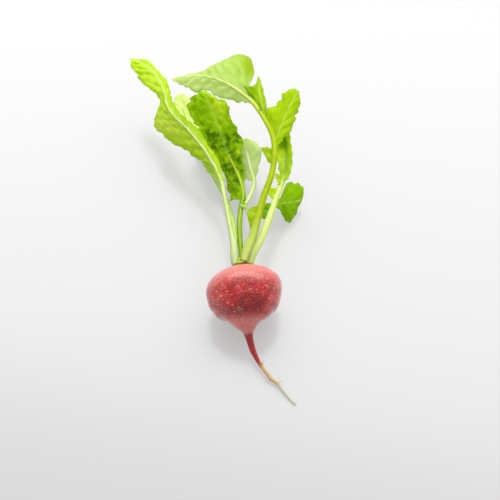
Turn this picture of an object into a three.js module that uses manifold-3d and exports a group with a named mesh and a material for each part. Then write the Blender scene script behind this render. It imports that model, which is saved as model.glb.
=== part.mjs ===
// A red radish with its leaves, lying on its side. Units are mm and +Z is up.
// The leaves point along +Y and the tap root points along -Y.
// The origin is the middle of the small flat spot on which the root rests.

import * as THREE from 'three';
import Module from 'manifold-3d';
import { mergeVertices } from 'three/addons/utils/BufferGeometryUtils.js';

const wasm = await Module();
wasm.setup();

// Root: the middle of its widest ring, how far its crown end tips up, and how far it turns to the left.
const ROOT_MIDDLE = new THREE.Vector3(0, -0.3, 18.6);
const ROOT_TILT = 8 * Math.PI / 180;
const ROOT_TURN = 5.3 * Math.PI / 180;
const ROOT_SIDES = 32;
// Distance from the widest ring towards the crown, and the radius there.
const ROOT_PROFILE = [
  [13.8, 4.3],
  [13.5, 5],
  [12.6, 5.3],
  [11.9, 5.6],
  [11.3, 6.4],
  [10.7, 7.6],
  [10, 9.7],
  [8.8, 12.3],
  [7.2, 14.8],
  [5.2, 16.9],
  [2.8, 18.4],
  [0, 19],
  [-3, 18.8],
  [-6, 18.2],
  [-9, 17.2],
];
// The narrowing end and the tap root: a point and the radius there.
const TAP_ROOT = [
  [1, -12, 16.9, 15.1],
  [1.2, -13.9, 16.5, 12.9],
  [1.3, -15.6, 16, 10.4],
  [1.4, -17, 15.4, 7.9],
  [1.6, -18.2, 14.7, 5.9],
  [1.9, -19.4, 13.6, 4.2],
  [2.1, -20.5, 12.2, 2.9],
  [2.4, -21.9, 10.4, 2.2],
  [2.9, -23.7, 8.8, 1.8],
  [4.5, -28.2, 6.2, 1.5],
  [6.2, -31.6, 4.9, 1.2],
  [8, -34.5, 4, 1],
  [13, -41, 2.5, 0.85],
  [17, -44.6, 1.8, 0.75],
  [22.5, -51.5, 1.1, 0.6],
  [25.5, -54.8, 0.7, 0.45],
];
const TAP_ROOT_STEP = 2.2;
// How much fuller the root is on its left near the tap root, and on its right near the crown.
const LEAN = 0.03;
// A young leaf that has only just started, in front of the arching leaf's foot.
const BUD = [
  [0.3, 11.5, 23.2, 2],
  [0.3, 13.1, 24.1, 1.8],
  [0.3, 13.8, 24.2, 1],
];

// Leaves
const BLADE_THICKNESS = 0.8;
const TOOTH_PITCH = 4.6;
const WAVE_PITCH = 13;
const WAVE_HEIGHT = 0.8;
const BLADE_COLUMNS = 3;
const STALK_SIDES = 10;
const STALK_STEP = 3.6;
const GROOVE = 0.26;

// A stalk is points from the crown, each with the radius there, then the blade takes over.
// A blade is rows of three points: the rib, the left edge and the right edge.
const LEFT_STALK = [
  [-4.35, 13.6, 20.93, 2.1],
  [-4.6, 17.6, 22, 2.35],
  [-5.3, 23.8, 23.4, 1.95],
  [-7, 31.9, 24.8, 1.25],
  [-9.2, 44.7, 26.3, 1.15],
  [-10.8, 53, 27.4, 1.2],
];
const LEFT_BLADE = [
  [[-11.9, 59.3, 28.2], [-14.1, 60.2, 27.5], [-9.9, 58.3, 28]],
  [[-14.9, 66.1, 29.4], [-17.3, 67, 27.6], [-12.6, 69.2, 29.4]],
  [[-17.3, 70.3, 30.2], [-20.6, 70.9, 26], [-15.3, 73.6, 30.4]],
  [[-20.5, 76, 31], [-25, 75, 23.5], [-18, 78, 31]],
  [[-25, 82, 32], [-31, 80.5, 22], [-21.5, 84.5, 32]],
  [[-29, 87, 33], [-38, 87, 21], [-25.5, 89.5, 33]],
  [[-32.5, 91, 33.5], [-44.5, 92.5, 20], [-29, 93, 34]],
  [[-36, 94.5, 34], [-48.5, 97, 20], [-33, 96.5, 34]],
  [[-39, 98.5, 34.5], [-49, 101, 22], [-36.5, 102, 34]],
  [[-41, 102.5, 35], [-47, 104, 26], [-38, 105.5, 34]],
  [[-42, 107.5, 35.5], [-45.5, 107.5, 31], [-39, 110, 34]],
  [[-43.5, 112.5, 36], [-49, 111.5, 33], [-40, 114, 34]],
  [[-45.5, 117, 36.5], [-53.5, 115.5, 34], [-41.5, 118.5, 34.5]],
  [[-48, 121.5, 37], [-57.5, 120.5, 34], [-45, 123.5, 35]],
  [[-51.5, 125.5, 36.5], [-59.5, 124, 34], [-49.5, 129, 35]],
  [[-55.5, 129, 36], [-61.5, 128, 34], [-53, 132.5, 35]],
  [[-59.5, 132, 35], [-62, 131, 34], [-58, 133, 35]],
  [[-62.3, 134, 34], [-62.6, 133.6, 34], [-62, 134.2, 34]],
];
const LEFT_TAB = [
  [[-13.1, 62.8, 27.8], [-12.6, 61.2, 27.8], [-13.9, 64.8, 28]],
  [[-15.8, 66, 26.8], [-15.8, 63.9, 25.6], [-16.4, 69.9, 27]],
  [[-18.5, 69.4, 25], [-18.8, 66, 23.4], [-18.8, 72.8, 25.6]],
  [[-20.7, 71.9, 24], [-20.9, 69.8, 23], [-20.7, 74.2, 24.4]],
  [[-21.8, 73.8, 23.6], [-21.9, 73.2, 23.6], [-21.8, 74.4, 23.6]],
];
const LOW_STALK = [
  [-2.31, 14.4, 16.65, 1.25],
  [-3, 22.2, 16, 1.3],
  [-4.6, 32.9, 14, 1.2],
  [-6.3, 45, 11.6, 1.1],
  [-9.5, 58.7, 8.8, 1.1],
];
const LOW_BLADE = [
  [[-15.5, 73.5, 5.5], [-17, 75, 5.5], [-14, 75.5, 5.5]],
  [[-20, 85, 3.5], [-24, 88, 2.8], [-15.5, 86, 3.5]],
  [[-24, 95, 2.3], [-30.5, 97.5, 1.4], [-17.5, 94.5, 2.2]],
  [[-27.5, 104, 2], [-35.5, 104.5, 1.2], [-19.5, 102.5, 1.6]],
  [[-30.5, 112, 2], [-39, 113, 1.2], [-24.5, 110, 1.6]],
  [[-33, 119.5, 2.4], [-40.5, 120.5, 1.6], [-28.5, 117, 2.2]],
  [[-34.5, 125, 3.2], [-41, 126, 2.6], [-30, 124, 3.4]],
  [[-36, 129, 4.2], [-40.5, 129.5, 3.8], [-31, 129.5, 4.2]],
  [[-36.5, 132, 5], [-37.5, 132, 5], [-35, 132.5, 5]],
];
const INNER_STALK = [
  [-1.15, 14.05, 19.15, 1.2],
  [-1.7, 22, 19.4, 1.35],
  [-2.2, 29, 19.6, 1.4],
  [-2.4, 38.6, 19.6, 1.35],
  [-1.6, 48.5, 19.7, 1.3],
];
const INNER_BLADE = [
  [[-0.5, 53, 20], [-1.7, 52.1, 19.5], [0.3, 53.6, 20]],
  [[-0.7, 57.8, 20.3], [-7.9, 53.3, 17.5], [0.4, 58.4, 20.2]],
  [[-1.9, 62.9, 21], [-9.5, 60.8, 18], [0.2, 65.2, 20.4]],
  [[-3.9, 67.9, 22], [-10.7, 67.1, 19.5], [-0.1, 70.8, 21]],
  [[-6.3, 72.6, 23.5], [-13.9, 72.7, 21], [-0.4, 76.5, 22]],
  [[-8.6, 77.9, 25], [-18.7, 77.1, 23], [-0.5, 81.6, 23.4]],
  [[-11.1, 84.4, 27.3], [-22.2, 83.1, 25], [-0.2, 86, 25]],
  [[-13.7, 91, 29.4], [-24.9, 90.7, 27], [-3.4, 92.4, 27]],
  [[-16, 97, 31], [-27.9, 97.1, 29], [-6.5, 96.2, 29]],
  [[-17.9, 102.3, 32.2], [-31.2, 103.3, 30], [-7.4, 101.2, 30.2]],
  [[-19.7, 106.4, 33], [-30.3, 108.6, 31], [-8.1, 105.6, 31]],
  [[-21.3, 109.5, 33.5], [-27, 111.1, 32.3], [-14.4, 108.2, 32.4]],
  [[-22.3, 112.1, 33.5], [-23.8, 112, 33.4], [-20.6, 112.3, 33.4]],
];
const INNER_SIDE_STEM = [
  [-1.5, 48.6, 19.4, 1.1],
  [1.2, 51.4, 18.8, 1],
  [3.5, 56.6, 18.2, 0.95],
  [5.2, 62.4, 17.9, 1.15],
];
const INNER_SIDE = [
  [[4.9, 65.9, 18], [3.8, 65, 18], [6, 66.4, 18]],
  [[4.1, 69.2, 18.3], [-0.7, 67.2, 16.4], [7.5, 70, 18.8]],
  [[3, 73.4, 18.7], [-2.6, 72.6, 16.4], [8.3, 74.6, 19.6]],
  [[1.9, 78.7, 19.2], [-5.6, 79, 16.4], [9.2, 79.6, 20.4]],
  [[1, 84, 19.6], [-6.2, 84.6, 17.4], [9.6, 83.4, 21]],
  [[0.3, 88, 19.8], [-3.4, 87.8, 18.4], [6.2, 88, 20.8]],
  [[-0.2, 90.4, 20], [-1.2, 90.2, 20], [1.4, 90.8, 20]],
];
const INNER_TAB = [
  [[-2, 48.4, 20.4], [-2, 47.5, 20.4], [-2, 49.3, 20.4]],
  [[-0.7, 47.6, 21.1], [-0.7, 45.6, 20.6], [-0.4, 49.9, 21.4]],
  [[0.7, 47.3, 21.2], [0.4, 45.4, 20.8], [0.9, 49, 21.4]],
  [[1.7, 47, 21], [1.6, 46.6, 21], [1.8, 47.3, 21]],
];
const ARCHING_STALK = [
  [0.4, 14.2, 25.4, 1.9],
  [1.1, 16.7, 26.1, 2.2],
  [2.4, 19.9, 27.1, 2.5],
  [4.5, 24.8, 29, 2.35],
  [6.5, 31.6, 32, 1.95],
  [8.5, 38.4, 35.2, 1.8],
  [10.7, 44.7, 38.5, 1.7],
  [13.1, 50.2, 41.5, 1.6],
  [14.6, 55.8, 44, 1.5],
  [15.4, 61.6, 46.8, 1.5],
  [15.3, 66.8, 48.6, 1.45],
  [14.2, 72.2, 50.3, 1.4],
  [11.6, 77.8, 52, 1.3],
  [8.1, 84, 53, 1.2],
];
const ARCHING_BLADE = [
  [[4.3, 89.4, 54], [3, 88.5, 54], [5, 91.5, 54]],
  [[1, 92.8, 54.5], [0.5, 90, 52], [3, 99, 55]],
  [[-2.5, 95.6, 55], [-3.5, 92, 50], [5, 108, 55]],
  [[-6, 98.5, 55], [-8, 95, 48], [3, 117.5, 54]],
  [[-9.6, 101.5, 54.5], [-12.5, 97.5, 47], [-4, 121, 53]],
  [[-13.6, 104.3, 53.5], [-16.5, 100.5, 46], [-11.5, 118.5, 52]],
  [[-18, 107, 52], [-21, 103, 45.5], [-17, 115, 51]],
  [[-22.6, 109, 50.5], [-25.5, 103.5, 44.5], [-21.5, 113.5, 49.5]],
  [[-27.5, 110.4, 48.5], [-29.5, 105.5, 43.5], [-27, 113, 48]],
  [[-32.4, 111, 46.5], [-33, 108, 43.5], [-32, 112.5, 46.5]],
  [[-36, 111.4, 45], [-35.8, 109.8, 44], [-36, 112.5, 45]],
  [[-38, 111.5, 44], [-38, 111, 44], [-38, 112, 44]],
];
const ARCHING_HORN = [
  [[11.4, 78.5, 51.5], [10.1, 80.3, 51.5], [13.2, 75.4, 51]],
  [[9.9, 84, 53], [4.5, 89.5, 53.2], [12.5, 83.2, 51.5]],
  [[8.9, 88.6, 54], [0.7, 94, 54], [11.7, 88.1, 52.5]],
  [[8.2, 92.6, 55], [-1.2, 98.1, 55], [10.8, 93, 53.2]],
  [[7.7, 96.5, 55.5], [2.7, 98, 56.2], [10.1, 97.2, 54]],
  [[7.4, 100, 56], [6, 99.5, 56.5], [9.1, 101, 55]],
  [[7.2, 104, 56.5], [6.7, 103.6, 56.5], [7.7, 103.8, 56.5]],
];
const ARCHING_WING = [
  [[15, 64.8, 47.6], [14.1, 66.4, 48], [16.2, 64, 47]],
  [[16.1, 69.6, 48.6], [13.4, 75.5, 49.6], [20.6, 71.1, 46.5]],
  [[17.5, 73.7, 49.4], [11.4, 81.4, 50.9], [23.5, 75.1, 45.8]],
  [[19.1, 77.8, 50.2], [11.7, 86.5, 51.6], [25.3, 79.3, 46]],
  [[20.6, 81.7, 50.9], [14.8, 89.3, 51.6], [27.2, 84.4, 46.8]],
  [[22.2, 85.4, 51.5], [17.4, 92.3, 52], [28.4, 88, 48]],
  [[23.9, 89.1, 52], [19, 95.7, 52.5], [29.5, 91.5, 49.5]],
  [[25.4, 92.5, 52.5], [21.7, 98, 52.7], [29, 94.7, 51]],
  [[26.8, 95.5, 52.6], [24.6, 99.7, 52.7], [28.6, 97.5, 52]],
  [[27.6, 97.7, 52.6], [27, 98.3, 52.6], [28.1, 97.9, 52.6]],
];
const ARCHING_TAB = [
  [[15, 61.1, 45.8], [14.6, 55.6, 43.6], [15.2, 66.1, 48]],
  [[13.3, 61.6, 46], [13.7, 56.7, 43.8], [13.4, 66.3, 47.4]],
  [[11.6, 63.1, 46], [12.3, 58.9, 44.2], [11.5, 67, 46.8]],
  [[10.2, 65.2, 45.6], [10.7, 62.1, 44.8], [10.1, 67.1, 46]],
  [[8.9, 67, 45.2], [9.1, 66.1, 45], [9, 67.5, 45.2]],
];
const ARCHING_LEAFLET = [
  [[6.8, 34.4, 33.2], [4.3, 26.4, 29.4], [7.8, 38.7, 35]],
  [[5.3, 35.4, 33], [2.9, 29.1, 29.4], [6.2, 39.3, 34.4]],
  [[3.8, 36.4, 32.4], [2.1, 32.7, 30.2], [4.5, 39.4, 33.4]],
  [[2.5, 36.9, 31.8], [1.8, 34.8, 31], [2.9, 38.7, 32.4]],
  [[1.1, 37.3, 31.4], [1, 36.7, 31.4], [1.2, 37.9, 31.5]],
];
const RIGHT_STALK = [
  [3.43, 14.05, 21.2, 1.65],
  [4.7, 18.4, 21.2, 1.75],
  [6.9, 23.4, 21.3, 1.85],
  [9.1, 28.4, 21.7, 1.9],
  [11.7, 35.6, 22.6, 1.85],
  [14.1, 42.8, 23.6, 1.75],
  [16.4, 50.1, 24.6, 1.6],
];
const RIGHT_BLADE = [
  [[19, 57.5, 26], [18, 58, 26], [20, 57.5, 26]],
  [[20.7, 62.4, 27], [17.8, 61.3, 28.6], [23.2, 59.5, 28.6]],
  [[21.8, 67.7, 28], [17.3, 65.5, 32], [24.4, 64.1, 31.5]],
  [[22.1, 73.3, 29], [16.8, 71, 33.5], [25, 69.9, 33]],
  [[22, 78.3, 30], [16.8, 76, 34.5], [24.9, 75.8, 34]],
  [[21.6, 82.7, 31], [17.3, 80.5, 35], [24.2, 80.5, 34.6]],
  [[21.1, 87, 32], [18.2, 85, 35], [23.1, 84.8, 34.8]],
  [[20.6, 90.5, 33], [19.8, 89.9, 33.6], [21.4, 89.9, 33.6]],
];
const RIGHT_SIDE = [
  [[15, 46.6, 23.8], [15, 48.1, 23.8], [15, 45.4, 23.6]],
  [[18.3, 49, 20.7], [19.2, 53, 21], [18.2, 46.9, 17]],
  [[20.8, 51.6, 17.2], [20.8, 60.7, 18.5], [20.2, 49.1, 9]],
  [[23.3, 53.9, 14], [23.4, 64.7, 17], [23, 48.4, 1.4]],
  [[26, 56, 11.5], [26.6, 66.3, 15.5], [25.6, 50.1, 0.7]],
  [[28.6, 57.8, 9.5], [29.5, 67.2, 13.5], [28.3, 55.2, 3.6]],
  [[30.1, 59.3, 8.5], [31.3, 65.3, 12], [29.9, 58.1, 6.6]],
  [[30.8, 60.4, 8.5], [31.2, 61.5, 9], [30.7, 59.6, 8]],
];
const RIGHT_FLAP = [
  [[13.9, 42.1, 23.3], [13, 38.3, 22.6], [15, 46.5, 24]],
  [[12.3, 42.5, 23.6], [10.7, 38.3, 21.6], [13.6, 47.5, 24.8]],
  [[10.5, 43.1, 23.8], [9, 39.1, 22], [11.8, 47.1, 25]],
  [[8.9, 43.7, 24], [8.1, 41.7, 23.4], [9.7, 45.6, 24.6]],
  [[7.8, 44.2, 24.2], [7.6, 43.6, 24.2], [8.1, 44.8, 24.2]],
];
const RIGHT_FLAP_TWO = [
  [[16.7, 51.5, 24.8], [16.1, 48.7, 24.4], [17.4, 54.3, 25.2]],
  [[15.2, 51.6, 25.8], [14.7, 48.2, 24.6], [15.9, 55.4, 26.8]],
  [[13.6, 52.1, 26.8], [13.2, 49.5, 26], [14.3, 55.1, 27.4]],
  [[12.2, 52.8, 27.4], [12.1, 51.9, 27.4], [12.5, 53.7, 27.4]],
];
const RIGHT_FLAP_THREE = [
  [[19.4, 59.1, 26.4], [18.9, 56.5, 26], [19.9, 61.5, 27]],
  [[18, 59.7, 27.4], [17.4, 56.9, 26.8], [18.4, 62.8, 28.4]],
  [[16.8, 60.8, 28.2], [16.3, 59.2, 28], [17, 62.8, 28.8]],
  [[15.9, 61.9, 28.8], [15.8, 61.4, 28.8], [16.1, 62.4, 28.8]],
];

function catmullRom(rows, at) {
  const last = rows.length - 1;
  const i = Math.min(Math.floor(at), last - 1);
  const t = at - i;
  const a = rows[Math.max(i - 1, 0)];
  const b = rows[i];
  const c = rows[i + 1];
  const d = rows[Math.min(i + 2, last)];
  return b.map((_, k) => {
    const slopeB = (c[k] - a[k]) / 2;
    const slopeC = (d[k] - b[k]) / 2;
    const rise = c[k] - b[k];
    return b[k] + slopeB * t + (3 * rise - 2 * slopeB - slopeC) * t * t
      + (slopeB + slopeC - 2 * rise) * t * t * t;
  });
}

// Samples rows of numbers at even steps of length, measured on their first three columns.
function evenly(rows, step) {
  const fine = [];
  const parts = (rows.length - 1) * 12;
  for (let i = 0; i <= parts; i += 1) {
    fine.push(catmullRom(rows, i / 12));
  }
  const lengths = [0];
  for (let i = 1; i < fine.length; i += 1) {
    const [a, b] = [fine[i - 1], fine[i]];
    lengths.push(lengths[i - 1] + Math.hypot(b[0] - a[0], b[1] - a[1], b[2] - a[2]));
  }
  const total = lengths[parts];
  const count = Math.max(2, Math.round(total / step));
  const out = [];
  let k = 0;
  for (let i = 0; i <= count; i += 1) {
    const wanted = total * i / count;
    while (k < parts - 1 && lengths[k + 1] < wanted) {
      k += 1;
    }
    const t = (wanted - lengths[k]) / (lengths[k + 1] - lengths[k]);
    out.push(fine[k].map((v, n) => v + (fine[k + 1][n] - v) * t));
  }
  return out;
}

function closedMesh(points, faces) {
  const geometry = new THREE.BufferGeometry();
  geometry.setAttribute('position', new THREE.Float32BufferAttribute(points.flat(), 3));
  geometry.setIndex(faces.flat());
  return geometry;
}

function solid(geometry) {
  const bare = geometry.clone();
  bare.deleteAttribute('normal');
  bare.deleteAttribute('uv');
  const merged = mergeVertices(bare, 1e-5);
  return new wasm.Manifold(new wasm.Mesh({
    numProp: 3,
    vertProperties: new Float32Array(merged.attributes.position.array),
    triVerts: new Uint32Array(merged.index.array),
  }));
}

// Sweeps a ring along points. ringShape gives the share of the radius at an angle, up being 90 degrees.
function sweep(points, radii, sides, ringShape) {
  const vertices = [];
  const faces = [];
  const up = new THREE.Vector3(0, 0, 1);
  points.forEach((point, i) => {
    const before = new THREE.Vector3(...points[Math.max(i - 1, 0)]);
    const after = new THREE.Vector3(...points[Math.min(i + 1, points.length - 1)]);
    const along = after.sub(before).normalize();
    const across = new THREE.Vector3().crossVectors(along, up).normalize();
    const over = new THREE.Vector3().crossVectors(across, along);
    for (let k = 0; k < sides; k += 1) {
      const angle = 2 * Math.PI * k / sides;
      const radius = radii[i] * ringShape(angle, i / (points.length - 1));
      const vertex = new THREE.Vector3(...point)
        .addScaledVector(across, radius * Math.cos(angle))
        .addScaledVector(over, radius * Math.sin(angle));
      vertices.push(vertex.toArray());
    }
  });
  const rings = points.length;
  for (let i = 0; i < rings - 1; i += 1) {
    for (let k = 0; k < sides; k += 1) {
      const a = i * sides + k;
      const b = i * sides + (k + 1) % sides;
      faces.push([a, a + sides, b]);
      faces.push([b, a + sides, b + sides]);
    }
  }
  const first = vertices.push(points[0]) - 1;
  const last = vertices.push(points[rings - 1]) - 1;
  for (let k = 0; k < sides; k += 1) {
    const next = (k + 1) % sides;
    faces.push([first, k, next]);
    faces.push([last, (rings - 1) * sides + next, (rings - 1) * sides + k]);
  }
  return solid(closedMesh(vertices, faces));
}

function round() {
  return 1;
}

// A leaf stalk is flattened, with a channel along its upper face.
function grooved(angle) {
  const channel = Math.exp(-(((angle - Math.PI / 2) / 0.5) ** 2));
  return (1 - GROOVE * channel) * (1 - 0.12 * Math.abs(Math.sin(angle)));
}

function tube(rows, sides, ringShape) {
  return sweep(rows.map((row) => row.slice(0, 3)), rows.map((row) => row[3]), sides, ringShape);
}

function stalk(rows) {
  return tube(evenly(rows, STALK_STEP), STALK_SIDES, grooved);
}

// One point of a blade. across runs from -1 at the left edge to 1 at the right edge.
function bladePoint(row, across, notch, wave) {
  const edge = across < 0 ? 3 : 6;
  const reach = [0, 1, 2].map((k) => row[edge + k] - row[k]);
  const length = Math.hypot(...reach);
  const cut = Math.min(notch / length, 0.3);
  const share = Math.abs(across) * (1 - cut * across * across);
  const bulge = 0.1 * length * Math.sin(Math.PI * share);
  const ripple = wave * WAVE_HEIGHT * Math.min(length / 8, 1) * share * share;
  return [
    row[0] + reach[0] * share,
    row[1] + reach[1] * share,
    row[2] + reach[2] * share + bulge + ripple,
  ];
}

function blade(rows, toothDepth) {
  const along = evenly(rows.map((row) => row.flat()), TOOTH_PITCH / 2);
  const columns = 2 * BLADE_COLUMNS + 1;
  const middle = along.map((row, i) => {
    const inside = i > 0 && i < along.length - 1;
    const out = [];
    for (let k = 0; k < columns; k += 1) {
      const across = k / BLADE_COLUMNS - 1;
      const side = across < 0 ? 1.2 : 0;
      const notch = inside && i % 2 ? toothDepth * (0.7 + 0.5 * Math.sin(2.3 * i + side)) : 0;
      const wave = inside ? Math.sin(2 * Math.PI * i * (TOOTH_PITCH / 2) / WAVE_PITCH + side) : 0;
      out.push(bladePoint(row, across, notch, wave));
    }
    return out;
  });
  const upper = [];
  const lower = [];
  middle.forEach((line, i) => line.forEach((point, k) => {
    const ahead = middle[Math.min(i + 1, along.length - 1)][k];
    const behind = middle[Math.max(i - 1, 0)][k];
    const right = line[Math.min(k + 1, columns - 1)];
    const left = line[Math.max(k - 1, 0)];
    const across = new THREE.Vector3(...right).sub(new THREE.Vector3(...left));
    const forward = new THREE.Vector3(...ahead).sub(new THREE.Vector3(...behind));
    const normal = across.cross(forward).normalize().multiplyScalar(BLADE_THICKNESS / 2);
    upper.push([point[0] + normal.x, point[1] + normal.y, point[2] + normal.z]);
    lower.push([point[0] - normal.x, point[1] - normal.y, point[2] - normal.z]);
  }));
  return solid(sheet(upper, lower, along.length, columns));
}

// Closes two like grids of points into one thin body, with the same diagonals on both faces.
function sheet(upper, lower, rows, columns) {
  const faces = [];
  const under = upper.length;
  for (let i = 0; i < rows - 1; i += 1) {
    for (let k = 0; k < columns - 1; k += 1) {
      const a = i * columns + k;
      const b = a + 1;
      const c = a + columns;
      const d = c + 1;
      faces.push([a, b, d], [a, d, c]);
      faces.push([under + a, under + d, under + b], [under + a, under + c, under + d]);
    }
  }
  const rim = [];
  for (let k = 0; k < columns - 1; k += 1) {
    rim.push(k);
  }
  for (let i = 0; i < rows - 1; i += 1) {
    rim.push(i * columns + columns - 1);
  }
  for (let k = columns - 1; k > 0; k -= 1) {
    rim.push((rows - 1) * columns + k);
  }
  for (let i = rows - 1; i > 0; i -= 1) {
    rim.push(i * columns);
  }
  rim.forEach((a, n) => {
    const b = rim[(n + 1) % rim.length];
    faces.push([a, under + a, b], [b, under + a, under + b]);
  });
  return closedMesh([...upper, ...lower], faces);
}

// The stalk runs on as the rib, on the blade's lower face, or on its upper face where the blade is turned over.
function stalkAndRib(stalkRows, bladeRows, tipRadius, offset) {
  const neckRadius = stalkRows.at(-1)[3];
  const ribs = bladeRows.slice(0, -2).map((row) => row[0]);
  return [
    ...stalkRows,
    ...ribs.map(([x, y, z], i) => {
      const share = (i / (ribs.length - 1)) ** 0.8;
      return [x, y, z + offset, neckRadius + (tipRadius - neckRadius) * share];
    }),
  ];
}

function leaf(stalkRows, bladeRows, tipRadius, offset, toothDepth) {
  return stalk(stalkAndRib(stalkRows, bladeRows, tipRadius, offset)).add(blade(bladeRows, toothDepth));
}

function root() {
  const axis = new THREE.Vector3(0, Math.cos(ROOT_TILT), Math.sin(ROOT_TILT))
    .applyAxisAngle(new THREE.Vector3(0, 0, 1), ROOT_TURN);
  const bulb = ROOT_PROFILE.map(([along, radius]) => (
    [...ROOT_MIDDLE.clone().addScaledVector(axis, along).toArray(), radius]
  ));
  const rows = [...bulb, ...evenly(TAP_ROOT, TAP_ROOT_STEP)];
  const body = tube(rows, ROOT_SIDES, (angle, share) => {
    const place = Math.PI * Math.min(share * 2, 1);
    const ridges = 0.012 * Math.sin(3 * angle + 0.6) + 0.006 * Math.sin(5 * angle);
    return 1 + ridges * Math.sin(place) - LEAN * Math.sin(2 * place) * Math.cos(angle);
  });
  const ground = new THREE.BoxGeometry(200, 200, 20).translate(0, 0, -10);
  return body.add(tube(BUD, 10, round)).subtract(solid(ground));
}

function leftLeaf() {
  return leaf(LEFT_STALK, LEFT_BLADE, 0.6, -0.5, 0.9).add(blade(LEFT_TAB, 0.9));
}

function lowLeaf() {
  return leaf(LOW_STALK, LOW_BLADE, 0.55, 0.3, 0.9);
}

function innerLeaf() {
  return leaf(INNER_STALK, INNER_BLADE, 0.6, -0.5, 1.3)
    .add(leaf(INNER_SIDE_STEM, INNER_SIDE, 0.7, 0.3, 0.7))
    .add(blade(INNER_TAB, 0.4));
}

function archingLeaf() {
  let body = leaf(ARCHING_STALK, ARCHING_BLADE, 0.6, 0.4, 0.9);
  for (const rows of [ARCHING_HORN, ARCHING_WING, ARCHING_TAB, ARCHING_LEAFLET]) {
    body = body.add(blade(rows, 1.5));
  }
  return body;
}

function rightLeaf() {
  let body = leaf(RIGHT_STALK, RIGHT_BLADE, 0.6, -0.3, 1);
  for (const rows of [RIGHT_SIDE, RIGHT_FLAP, RIGHT_FLAP_TWO, RIGHT_FLAP_THREE]) {
    body = body.add(blade(rows, 1.3));
  }
  return body;
}

function skin() {
  return new THREE.MeshStandardMaterial({ color: 0xb01e30, roughness: 0.3, metalness: 0 });
}

function green(color) {
  return new THREE.MeshStandardMaterial({ color, roughness: 0.6, metalness: 0 });
}

function piece(name, body, material) {
  const { vertProperties, triVerts, numProp } = body.getMesh();
  const points = [];
  for (let i = 0; i < vertProperties.length; i += numProp) {
    points.push([vertProperties[i], vertProperties[i + 1], vertProperties[i + 2]]);
  }
  const geometry = closedMesh(points, [Array.from(triVerts)]);
  geometry.computeVertexNormals();
  const mesh = new THREE.Mesh(geometry, material);
  mesh.name = name;
  return mesh;
}

const radish = new THREE.Group();
radish.name = 'radish_with_leaves';
radish.add(piece('radish_root', root(), skin()));
radish.add(piece('leaf_left', leftLeaf(), green(0x7fa61e)));
radish.add(piece('leaf_arching', archingLeaf(), green(0xa9cf52)));
radish.add(piece('leaf_right', rightLeaf(), green(0x77a20f)));
radish.add(piece('leaf_inner', innerLeaf(), green(0x4a8410)));
radish.add(piece('leaf_low', lowLeaf(), green(0xb4cf5a)));

export default radish;
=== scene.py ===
"""A red radish with its leaves, lying on its side on a pale surface.

The leaves point along +Y, the tap root along -Y and +Z is up.
Points and small lengths are written in millimetres and become metres where a mesh is shaped.
"""

import math

import bpy
import numpy as np
from bpy.props import FloatProperty, FloatVectorProperty, PointerProperty
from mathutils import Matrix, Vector


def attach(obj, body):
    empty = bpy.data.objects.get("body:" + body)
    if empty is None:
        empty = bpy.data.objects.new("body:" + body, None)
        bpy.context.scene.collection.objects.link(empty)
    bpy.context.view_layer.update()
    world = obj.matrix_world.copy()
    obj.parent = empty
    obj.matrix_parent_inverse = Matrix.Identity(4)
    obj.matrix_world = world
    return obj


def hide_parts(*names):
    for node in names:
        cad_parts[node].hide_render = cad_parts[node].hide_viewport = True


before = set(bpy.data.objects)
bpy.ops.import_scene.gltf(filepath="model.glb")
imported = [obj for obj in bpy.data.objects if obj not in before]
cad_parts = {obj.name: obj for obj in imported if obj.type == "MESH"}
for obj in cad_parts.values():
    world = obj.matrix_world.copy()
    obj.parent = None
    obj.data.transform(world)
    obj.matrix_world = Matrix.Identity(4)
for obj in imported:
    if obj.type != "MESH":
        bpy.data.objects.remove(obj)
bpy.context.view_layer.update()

bl_info = {
    "name": "Radish with leaves",
    "version": (1, 0, 0),
    "blender": (4, 5, 0),
    "location": "View3D > Sidebar > Radish",
    "description": "Makes a red radish with its leaves, its surface, lights and camera",
    "category": "Add Mesh",
}

MM = 0.001

# The root: the middle of its widest ring, how far its crown tips up and how far it turns left.
ROOT_MIDDLE = np.array([0, -0.3, 18.6])
ROOT_TILT = math.radians(8)
ROOT_TURN = math.radians(5.3)
# Distance from the widest ring towards the crown, and the radius there.
ROOT_PROFILE = [
    [13.9, 0], [13.85, 3.4], [13.6, 4.8], [12.6, 5.3], [11.9, 5.6], [11.3, 6.4], [10.7, 7.6],
    [10, 9.7], [8.8, 12.3], [7.2, 14.8], [5.2, 16.9], [2.8, 18.4], [0, 19], [-3, 18.8],
    [-6, 18.2], [-9, 17.2],
]
# The narrowing end and the tap root: a point and the radius there.
TAP_ROOT = [
    [1, -12, 16.9, 15.1], [1.2, -13.9, 16.5, 12.9], [1.3, -15.6, 16, 10.4], [1.4, -17, 15.4, 7.9],
    [1.6, -18.2, 14.7, 5.9], [1.9, -19.4, 13.6, 4.2], [2.1, -20.5, 12.2, 2.9],
    [2.4, -21.9, 10.4, 2.2], [2.9, -23.7, 8.8, 1.8], [4.5, -28.2, 6.2, 1.5],
    [6.2, -31.6, 4.9, 1.2], [8, -34.5, 4, 1], [13, -41, 2.5, 0.85], [17, -44.6, 1.8, 0.75],
    [22.5, -51.5, 1.1, 0.6], [25.5, -54.8, 0.7, 0.45],
]
# How much fuller the root is on its left near the tap root, and on its right near the crown.
ROOT_LEAN = 0.03
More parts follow.
